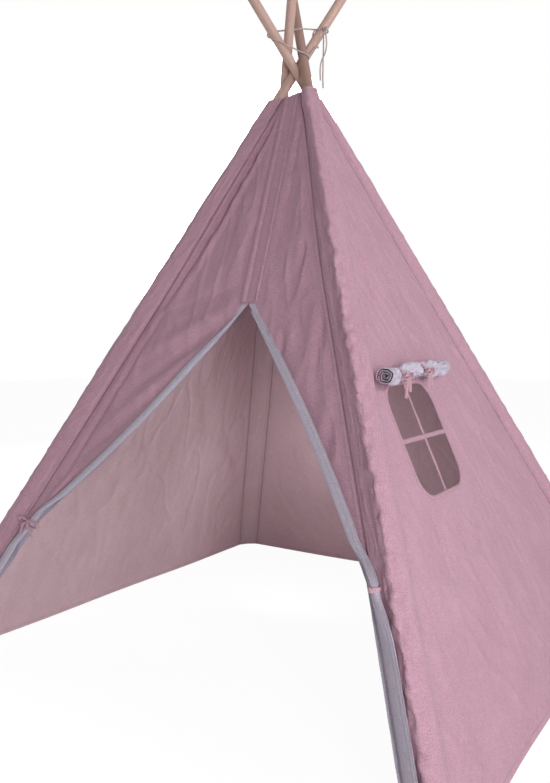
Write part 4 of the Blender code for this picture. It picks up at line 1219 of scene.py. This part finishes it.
def smooth_path(points, spacing):
    """Points at even steps on one smooth curve through these points."""
    points = [np.asarray(point, float) for point in points]
    dense = []
    for index in range(len(points) - 1):
        before = points[max(0, index - 1)]
        a, b = points[index], points[index + 1]
        after = points[min(len(points) - 1, index + 2)]
        reach = np.linalg.norm(b - a)
        leave, arrive = unit(b - before) * reach, unit(after - a) * reach
        steps = max(4, math.ceil(8 * reach / 0.008))
        dense += [between(a, b, leave, arrive, step / steps) for step in range(steps)]
    dense = np.array(dense + [points[-1]])
    lengths = distances(dense)
    wanted = np.linspace(0, lengths[-1], max(2, round(lengths[-1] / spacing)) + 1)
    return np.stack([np.interp(wanted, lengths, dense[:, axis]) for axis in range(3)], 1)


def tangents(path):
    return unit(np.gradient(path, axis=0))


def carried(path, first):
    """A direction across the path, carried along it without twisting."""
    ahead = tangents(path)
    side = unit(np.asarray(first, float) - ahead[0] * np.dot(first, ahead[0]))
    found = [side]
    for step in ahead[1:]:
        side = unit(side - step * np.dot(side, step))
        found.append(side)
    return ahead, np.array(found)


def path_length(path):
    return float(np.linalg.norm(np.diff(path, axis=0), axis=1).sum())


def ribbon(name, route, wide, width=RIBBON_WIDTH, narrow_ends=0):
    """A flat tape along a smooth route, cupped a little. wide is the direction across its width."""
    path = smooth_path(route, 0.0022)
    ahead = tangents(path)
    wide = np.broadcast_to(np.asarray(wide, float), path.shape)
    across = unit(wide - ahead * col(dot(wide, ahead)))
    thin = np.cross(ahead, across)
    columns = 6
    made, column, row, face = pattern(name, columns, len(path) - 1)
    share = column / columns - 0.5
    run = row / (len(path) - 1)
    squeeze = 1 - narrow_ends * (1 - rise(0, 0.25, run))
    x = share * width * squeeze
    cup = (0.25 - share**2) * 0.0012
    half = RIBBON_THICKNESS / 2 * 0.75
    move(made, path[row] + across[row] * col(x) + thin[row] * col(cup + face * half))
    charts(made, share * width, run * path_length(path))
    face_out(made)
    return dress(made, TAPE, TAPE), path


def tie_ring(name, middle, first, second, reach, width, run):
    """A tape round something: first and second span its circle, and run is the direction across its width."""
    columns = 40
    made, column, row, face = pattern(name, columns, 4)
    turn = 2 * math.pi * column / columns
    across = (row / 4 - 0.5) * width
    out = reach + np.where(face > 0, RIBBON_THICKNESS, 0) - 0.0004 * (np.abs(row - 2) == 2)
    wrinkle = 0.0004 * np.sin(3 * turn + 1) * (row / 4 - 0.5)
    spokes = first * col(np.cos(turn)) + second * col(np.sin(turn))
    move(made, middle + spokes * col(out) + run * col(across + wrinkle))
    charts(made, across, turn * reach)
    drop_faces(made, (column == 0) | (column == columns))
    close_round(made)
    face_out(made)
    return dress(made, TAPE, TAPE)


def tape_knot(name, middle, outward, across, radius=KNOT_RADIUS):
    """A small flat knot: a tape crossing over itself, full in the middle."""
    bpy.ops.object.select_all(action="DESELECT")
    bpy.ops.mesh.primitive_ico_sphere_add(subdivisions=4, radius=1, location=(0, 0, 0))
    made = bpy.context.object
    made.name = made.data.name = name
    ball = spots(made)
    upward = unit(np.cross(outward, across))
    groove = np.exp(-((ball[:, 0] - 0.25 * ball[:, 2]) / 0.16) ** 2)
    fold = 0.90 + 0.13 * np.cos(5 * ball[:, 0] + 3.5 * ball[:, 2]) - 0.12 * groove
    shaped = ball * col(fold)
    places = (across * col(shaped[:, 0] * radius) + upward * col(shaped[:, 2] * radius * 0.88)
              + outward * col(shaped[:, 1] * radius * 0.80))
    move(made, middle + places)
    charts(made, ball[:, 0] * radius * 0.5, ball[:, 2] * radius)
    face_out(made)
    return dress(made, TAPE)


def gathered_tape(made, side, corner, node=None):
    follow(made, side, corner)
    if node:
        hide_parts(node)
    return made


BOW_TURNS = (-140, -100, -55, -15, 25, 65, 105, 140)
BOW_SWELL = 0.0035
# A hanging tail's shares sideways, outwards and down
TAIL_SHARES = ((0.10, 0.10, 0), (0.32, 0.42, 0.12), (0.62, 0.45, 0.45), (0.85, 0.40, 0.75), (1, 0.30, 1))


def bow_loop(knot, sideways, outward, length, height, droop):
    """The route of a bow's loop, out from the knot and back to it."""
    def place(turn):
        beside = knot + sideways * length * (1 + math.cos(turn)) / 2 + UP * (height * math.sin(turn) / 2)
        out = KNOT_RADIUS / 3 + BOW_SWELL * math.sin(turn) ** 2
        return beside - UP * droop * (1 + math.cos(turn)) / 2 + outward * out
    return [place(turn) for turn in np.radians(BOW_TURNS)]


def tail(knot, sideways, outward, length, spread_out):
    """The route of a tape's end that hangs from the knot."""
    return [knot + (sideways * side + outward * out) * spread_out - UP * length * drop
            for side, out, drop in TAIL_SHARES]


def door_tie(side):
    """The tape round the gathered flap, with its bow on the left."""
    corner = f"front_{side}"
    node = f"door_tie_{side}"
    centre, across, out, width, depth, _ = flap_frame(side, TIE_HEIGHT)
    run = unit(np.cross(across, out))
    ring = tie_ring(f"{node}_band", centre, across, out, width + GAP, RIBBON_WIDTH, run)
    gathered_tape(ring, FRONT, corner, node)
    _, _, along, inward = FRONT.row(np.array(TIE_HEIGHT))
    knot = centre - inward * (depth + KNOT_RADIUS * 0.9)
    gathered_tape(tape_knot(f"{node}_knot", knot, -inward, along), FRONT, corner)
    if side == "right":
        return
    for word, sideways, length, droop in (("inner", along, 0.036, 0.006), ("outer", -along, 0.030, -0.005)):
        shape = bow_loop(knot, sideways, -inward, length, 0.013, droop)
        loop, _ = ribbon(f"{node}_loop_{word}", shape, inward)
        gathered_tape(loop, FRONT, corner)
        route = tail(knot, sideways, -inward, 0.030, 0.020)
        end, _ = ribbon(f"{node}_tail_{word}", route, along, narrow_ends=0.4)
        gathered_tape(end, FRONT, corner)


# The window


def window_frame():
    """The window's middle, and its directions along the panel, up its slope and outwards."""
    def on_panel(height):
        start, _, along, _ = RIGHT.row(np.array(height))
        distance = (WINDOW_Y - start[1]) / along[1]
        return RIGHT.point(np.array(distance), np.array(height)), along
    middle, along = on_panel(WINDOW_Z)
    above, _ = on_panel(WINDOW_Z + WINDOW_HEIGHT / 2)
    up = unit(above - middle)
    return middle, along, up, unit(np.cross(along, up))


def rounded(half_across, half_up, corner, steps=12):
    """A rounded rectangle as (across, up) points, with a few points along its straight sides."""
    outline = []
    for quarter, (sign_x, sign_y) in enumerate(((1, 1), (-1, 1), (-1, -1), (1, -1))):
        for step in range(steps + 1):
            angle = math.pi / 2 * (quarter + step / steps)
            outline.append((sign_x * (half_across - corner) + corner * math.cos(angle),
                            sign_y * (half_up - corner) + corner * math.sin(angle)))
    outline = np.array(outline + outline[:1])
    run = distances(outline)
    wanted = np.linspace(0, run[-1], 161)
    return np.stack([np.interp(wanted, run, outline[:, i]) for i in (0, 1)], 1), wanted


def on_window(grow, out):
    middle, along, up, outward = window_frame()
    outline, run = rounded(WINDOW_WIDTH / 2 + grow, WINDOW_HEIGHT / 2 + grow, WINDOW_CORNER + grow)
    return middle + along * outline[:, :1] + up * outline[:, 1:] + outward * out, run


def cut_window(half):
    """Cuts the window through the panel's cloth, under the middle of its binding."""
    outline, _ = on_window(BINDING_WIDTH / 2, 0)
    outline = outline[:-1]
    _, _, _, outward = window_frame()
    bpy.ops.object.select_all(action="DESELECT")
    bpy.ops.mesh.primitive_cylinder_add(vertices=len(outline), radius=1, depth=2, location=(0, 0, 0))
    cutter = bpy.context.object
    found = spots(cutter)
    round_share = np.arctan2(found[:, 0], found[:, 1]) / (2 * math.pi)
    turn = np.rint(round_share * len(outline)).astype(int) % len(outline)
    move(cutter, outline[turn] + outward * col(found[:, 2] * 0.02))
    face_out(cutter)
    alone(half)
    cut = half.modifiers.new("window", "BOOLEAN")
    cut.operation = "DIFFERENCE"
    cut.solver = "EXACT"
    cut.object = cutter
    bpy.ops.object.modifier_apply(modifier=cut.name)
    bpy.data.objects.remove(cutter)


# The folded tape's section in millimetres: out from the opening's edge, and out from the panel
BINDING_SECTION = (
    (0, -1.1),
    (-0.4, 0),
    (0, 1.1),
    (1.5, 1.9),
    (4.5, 2.0),
    (7.6, 1.8),
    (8.8, 1.0),
    (8.8, -1.0),
    (7.6, -1.8),
    (4.5, -2.0),
    (1.5, -1.9),
    (0, -1.1),
)
MILLIMETRE = 0.001


def window_binding():
    """A tape folded over the cut edge all round."""
    rings = [on_window(grow * MILLIMETRE, out * MILLIMETRE) for grow, out in BINDING_SECTION]
    count = len(rings[0][0]) - 1
    made = grid("window_binding_tape", count, len(rings) - 1)
    column, row, _ = cells(made, count, len(rings) - 1)
    stacked = np.stack([ring for ring, _ in rings], 0)
    _, _, _, outward = window_frame()
    run = rings[0][1][column]
    pucker = rumple(run * 120, row * 0.7, 91.0) * 0.00035
    move(made, stacked[row, column % count] + outward * col(pucker * (column % count > 0)))
    across = np.array([grow for grow, _ in BINDING_SECTION])[row] * MILLIMETRE - BINDING_WIDTH / 2
    charts(made, across, run, np.abs(across + BINDING_WIDTH / 2) + 0.001, np.ones(len(run)))
    close_round(made)
    face_out(made)
    dress(made, CANVAS)
    follow(made, RIGHT, "front_right")
    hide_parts("window_binding")


def window_bar(node, upright, side):
    """A sewn strip across the opening, folded double, with turned edges."""
    middle, along, up, outward = window_frame()
    length = (WINDOW_HEIGHT if upright else WINDOW_WIDTH) + 0.004
    run, across = (up, along) if upright else (along, up)
    made, column, row, face = pattern(f"{node}_strip", 8, 60)
    share = column / 8 - 0.5
    at = (row / 60 - 0.5) * length
    centre = outward * side * (BAR_THICKNESS + GAP) / 2
    lift = face * (BAR_THICKNESS / 2 + 0.0002 * (np.abs(share) > 0.3)) + 0.0006 * rumple(at * 40, share, 33.0)
    edge = 0.0004 * rumple(at * 60, share * 3, 44.0)
    move(made, middle + centre + run * col(at) + across * col(share * BAR_WIDTH + edge) + outward * col(lift))
    charts(made, share * BAR_WIDTH, at, (0.5 - np.abs(share)) * BAR_WIDTH + 0.0015, np.ones(len(at)))
    face_out(made)
    dress(made, CANVAS, CANVAS)
    follow(made, RIGHT, "front_right")
    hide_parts(node)


# The curtain, rolled up above the window


def curtain_radius(along):
    """The roll is drawn in at its two ties."""
    pinch = np.max([np.exp(-(((along - tie) / CURTAIN_TIE_RUN) ** 2)) for tie in CURTAIN_TIE_PLACES], axis=0)
    return lerp(CURTAIN_RADIUS, CURTAIN_TIED_RADIUS, pinch), pinch


def curtain_middle(along):
    """The middle of the roll. Its front end rises onto the sleeve."""
    _, _, up, outward = window_frame()
    height = WINDOW_Z + (WINDOW_HEIGHT / 2 + CURTAIN_ABOVE) * up[2]
    start, _, row_along, _ = RIGHT.row(np.array(height))
    distance = (WINDOW_Y + along - start[1]) / row_along[1]
    on_panel = RIGHT.point(distance, np.full_like(distance, height))
    front_end = CURTAIN_SHIFT - CURTAIN_LENGTH / 2
    near_end = 1 - rise(front_end, front_end + CURTAIN_RISE_RUN, along)
    reach = curtain_radius(along)[0] * CURTAIN_FULLNESS
    lift = CAD_HALF + RIBBON_THICKNESS + 3 * GAP + reach + CURTAIN_RISE * near_end
    droop = CURTAIN_DROOP * (1 - rise(front_end, 0.05, along))
    return on_panel + outward * col(lift) - up * col(droop)


def curtain():
    """The curtain's cloth wound inwards and bunched between its two ties, with its reverse outside."""
    _, panel_along, up, outward = window_frame()
    columns, rows = 110, 120
    made, column, row, face = pattern("curtain_roll_cloth", columns, rows)
    front_end = CURTAIN_SHIFT - CURTAIN_LENGTH / 2
    along = np.linspace(front_end, front_end + CURTAIN_LENGTH, rows + 1)
    radius, pinch = curtain_radius(along)
    radius = radius * lerp(CURTAIN_FULLNESS, 0.92, pinch)
    turn = 2 * math.pi * CURTAIN_TURNS * column / columns
    layer = 0.0038 * turn / (2 * math.pi)
    at = along[row]
    bunch = rumple(np.cos(turn) * 1.3 + at * 34, np.sin(turn) * 1.3 + at * 17, 55.0)
    sharp = ridge(rumple(np.cos(turn) * 2.2 + at * 60, np.sin(turn) * 2.2 - at * 25, 58.0), 4)
    ribs = np.sin(6 * turn + at * 130) * rise(0.05, 0.8, pinch[row]) * 0.0016
    open_out = 1 - 0.5 * pinch[row]
    from_end = np.minimum(at - front_end, front_end + CURTAIN_LENGTH - at)
    free = 0.3 + 0.7 * rise(0.004, 0.045, from_end)
    lumps = free * (0.0090 * bunch - 0.0062 * sharp**2 + 0.0012) * open_out
    lumps = lumps * rise(0, 0.008, radius[row] - layer)
    reach = radius[row] - layer * (radius[row] / CURTAIN_RADIUS) + lumps + ribs
    reach = np.maximum(reach - np.where(face > 0, 0, CURTAIN_CLOTH), 0.0012)
    skew = rumple(turn * 0.5, at * 4, 15.0) * 0.004
    spokes = up * col(np.sin(turn)) - outward * col(np.cos(turn))
    at_ends = np.abs(row - rows / 2) > rows / 2 - 8
    move(made, curtain_middle(along)[row] + spokes * col(reach) + panel_along * col(skew * at_ends))
    charts(made, turn * radius[row] * 0.6, at, np.ones(len(at)), from_end)
    face_out(made)
    dress(made, CANVAS_REVERSE, CANVAS)
    follow(made, RIGHT, "front_right")
    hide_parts("curtain_roll")
    return made


def curtain_tie(node, place_along):
    _, along, up, outward = window_frame()
    reach = float(curtain_radius(np.array([place_along]))[0][0]) * 0.94 + GAP
    middle = curtain_middle(np.array([place_along]))[0]
    ring = tie_ring(f"{node}_band", middle, outward, up, reach, RIBBON_WIDTH, along)
    gathered_tape(ring, RIGHT, "front_right", node)
    turn = math.radians(-25)
    away = outward * math.cos(turn) + up * math.sin(turn)
    knot = middle + away * (reach + KNOT_RADIUS)
    gathered_tape(tape_knot(f"{node}_knot", knot, away, along), RIGHT, "front_right")
    wide = unit(along * 0.3 + outward)
    for word, sideways, drop in (("front", -along, 0.043), ("back", along, 0.032)):
        shape = bow_loop(knot, sideways, outward, 0.020, 0.010, 0.006)
        loop, _ = ribbon(f"{node}_loop_{word}", shape, outward)
        gathered_tape(loop, RIGHT, "front_right")
        route = tail(knot, sideways, outward, drop, 0.010)
        end, path = ribbon(f"{node}_tail_{word}", route, wide, TAIL_WIDTH, narrow_ends=0.3)
        gathered_tape(end, RIGHT, "front_right")
        path_length(path)


# The lashing


def twisted(name, path, radius):
    """A cord of three strands twisted together, along a path."""
    along = distances(path)
    ahead, side = carried(path, (0.31, 0.22, 0.91))
    other = np.cross(ahead, side)
    columns, rows = 18, len(path) - 1
    made = grid(name, columns, rows)
    column, row, _ = cells(made, columns, rows)
    turn = 2 * math.pi * (column % columns) / columns
    lobes = np.abs(np.cos(1.5 * (turn - along[row] * 2 * math.pi / CORD_LAY)))
    reach = radius * (0.80 + 0.22 * lobes)
    from_end = np.minimum(along[row], along[-1] - along[row])
    reach = reach * np.sqrt(np.clip(from_end / (0.7 * radius), 0, 1))
    move(made, path[row] + side[row] * col(np.cos(turn) * reach) + other[row] * col(np.sin(turn) * reach))
    charts(made, column / columns * 2 * math.pi * radius, along[row], lobes, np.ones(len(row)))
    close_round(made, 0.00001)
    face_out(made)
    return dress(made, TWINE)


def beside_pole(corner, height, angle, reach=POLE_RADIUS + CORD_WRAP_GAP + CORD_RADIUS):
    """A point this far from the pole's axis, which suits the cord's centre line."""
    _, across, under = pole_frame(corner)
    turn = math.radians(angle)
    return axis_at(corner, height) + (across * math.cos(turn) + under * math.sin(turn)) * reach


def lashing():
    knot = beside_pole(KNOT_POLE, KNOT_HEIGHT, KNOT_ANGLE, POLE_RADIUS + GAP + CORD_KNOT_RADIUS)
    stops = [beside_pole(*stop) for stop in CORD_ROUTE]
    reach = CORD_KNOT_RADIUS + GAP
    first, last = (knot + unit(stop - knot) * reach for stop in (stops[0], stops[-1]))
    path = smooth_path([first, *stops, last], PATH_SPACING)
    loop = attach(twisted("lashing_loop_cord", path, CORD_RADIUS), "cover")
    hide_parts("lashing_loop")
    path_length(path)
    turns = np.linspace(0, 2 * math.pi, 121)
    x = np.sin(turns) + 2 * np.sin(2 * turns)
    y = np.cos(turns) - 2 * np.cos(2 * turns)
    ring = np.stack([x, y, -np.sin(3 * turns)], 1)
    along, across, under = pole_frame(KNOT_POLE)
    curl = knot + ring @ np.array([along, under, across]) * KNOT_CURL
    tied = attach(twisted("lashing_knot_cord", curl, KNOT_STRAND_RADIUS), "cover")
    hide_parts("lashing_knot")
    tails = (("long", LONG_TAIL_LEAVES, LONG_TAIL), ("short", SHORT_TAIL_LEAVES, SHORT_TAIL))
    for word, leaves, places in tails:
        direction = unit(np.array(leaves))
        start = knot + direction * reach
        path = smooth_path([start, start + direction * TAIL_STRAIGHT, *places], PATH_SPACING)
        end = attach(twisted(f"lashing_tail_{word}_cord", path, CORD_RADIUS), "cover")
        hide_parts(f"lashing_tail_{word}")
        path_length(path)


# Poles keep their own shape and get their finish


def finish_poles():
    steel = drawn_steel()
    for corner in CORNERS:
        grain = wood(corner)
        finishes = {f"pole_{corner}_lower": grain, f"pole_{corner}_upper": grain, f"ferrule_{corner}": steel}
        for node, finish in finishes.items():
            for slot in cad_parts[node].material_slots:
                slot.material = finish


# Camera, floor and light
CAMERA_PLACE = (0.91868, -1.44849, 0.67649)
CAMERA_TURN = 0.596637
CAMERA_TILT = -0.054944
CAMERA_ROLL = -0.010794
IMAGE_WIDTH, IMAGE_HEIGHT = 550, 783
FOCAL_PIXELS = 724.93
SENSOR = 36


def camera():
    seen = bpy.data.cameras.new("camera")
    seen.sensor_width = SENSOR
    seen.lens = FOCAL_PIXELS * SENSOR / IMAGE_HEIGHT
    seen.clip_start = 0.01
    made = bpy.data.objects.new("camera", seen)
    turn = Matrix.Rotation(CAMERA_TURN, 4, "Z") @ Matrix.Rotation(math.pi / 2 + CAMERA_TILT, 4, "X")
    made.matrix_world = Matrix.Translation(CAMERA_PLACE) @ turn @ Matrix.Rotation(CAMERA_ROLL, 4, "Z")
    bpy.context.scene.collection.objects.link(made)
    bpy.context.scene.camera = made


def lamp(name, place, size, power, aim=(0, 0, 0.6), seen=True):
    light = bpy.data.lights.new(name, "AREA")
    light.shape = "DISK"
    light.size = size
    light.energy = power
    made = bpy.data.objects.new(name, light)
    made.location = place
    made.rotation_euler = (Vector(place) - Vector(aim)).to_track_quat("Z", "Y").to_euler()
    made.visible_camera = made.visible_glossy = seen
    bpy.context.scene.collection.objects.link(made)


def two_looks(tree, share, lit, seen, output):
    """Joins what lights the teepee and what is seen instead, by this share of the second."""
    mix = tree.nodes.new("ShaderNodeMixShader")
    for index, node in enumerate((share, lit, seen)):
        tree.links.new(node.outputs[0], mix.inputs[index])
    tree.links.new(mix.outputs[0], tree.nodes.new(output).inputs["Surface"])


def surroundings():
    """A white world to the camera that lights the teepee as a plain grey one, and a pale floor."""
    world = bpy.data.worlds.new("studio")
    world.use_nodes = True
    bpy.context.scene.world = world
    tree = world.node_tree
    tree.nodes.clear()
    path = tree.nodes.new("ShaderNodeLightPath")
    plain, white = tree.nodes.new("ShaderNodeBackground"), tree.nodes.new("ShaderNodeBackground")
    plain.inputs["Color"].default_value = (1.0, 0.95, 0.96, 1)
    plain.inputs["Strength"].default_value = 0.28
    white.inputs["Color"].default_value = (1, 1, 1, 1)
    white.inputs["Strength"].default_value = 1
    seen = tree.nodes.new("ShaderNodeMath")
    seen.operation = "MAXIMUM"
    tree.links.new(path.outputs["Is Camera Ray"], seen.inputs[0])
    tree.links.new(path.outputs["Is Glossy Ray"], seen.inputs[1])
    two_looks(tree, seen, plain, white, "ShaderNodeOutputWorld")
    bpy.ops.object.select_all(action="DESELECT")
    bpy.ops.mesh.primitive_plane_add(size=30, location=(0, 0, -0.0005))
    floor = bpy.context.object
    floor.name = "floor"
    finish = bpy.data.materials.new("pale_floor")
    finish.use_nodes = True
    tree = finish.node_tree
    tree.nodes.clear()
    path = tree.nodes.new("ShaderNodeLightPath")
    matt, white = tree.nodes.new("ShaderNodeBsdfDiffuse"), tree.nodes.new("ShaderNodeEmission")
    matt.inputs["Color"].default_value = (0.84, 0.84, 0.85, 1)
    white.inputs["Strength"].default_value = 1.10
    share = tree.nodes.new("ShaderNodeMath")
    share.operation = "MULTIPLY"
    share.inputs[1].default_value = 0.86
    tree.links.new(path.outputs["Is Camera Ray"], share.inputs[0])
    two_looks(tree, share, matt, white, "ShaderNodeOutputMaterial")
    floor.data.materials.append(finish)


camera()
lashing()
finish_poles()
for corner in CORNERS:
    sleeve(corner)
front_half("left")
front_half("right")
placket()
plain_halves("left_panel", LEFT)
plain_halves("back_panel", BACK)
plain_halves("right_panel", RIGHT, cut_window)
for side in ("left", "right"):
    flap = door_flap(side)
    door_tie(side)
window_binding()
window_bar("window_bar_upright", True, -1)
window_bar("window_bar_cross", False, 1)
roll = curtain()
for name, place_along in zip(("curtain_tie_front", "curtain_tie_back"), CURTAIN_TIE_PLACES):
    curtain_tie(name, place_along)
surroundings()
lamp("key_lamp", (2.9, -0.1, 1.75), 1.2, 35)
lamp("fill_lamp", (2.45, -2.35, 0.70), 0.9, 45, (-0.15, 0.2, 0.4))
lamp("left_lamp", (-2.8, -1.3, 0.90), 1.6, 11)
lamp("back_lamp", (-2.4, 2.6, 1.9), 2.0, 34)
lamp("glow_through_the_cloth", (-0.12, 0.05, 0.22), 0.25, 0.38, (-0.22, 0.90, 0.16), seen=False)
bpy.context.scene.view_settings.view_transform = "Standard"
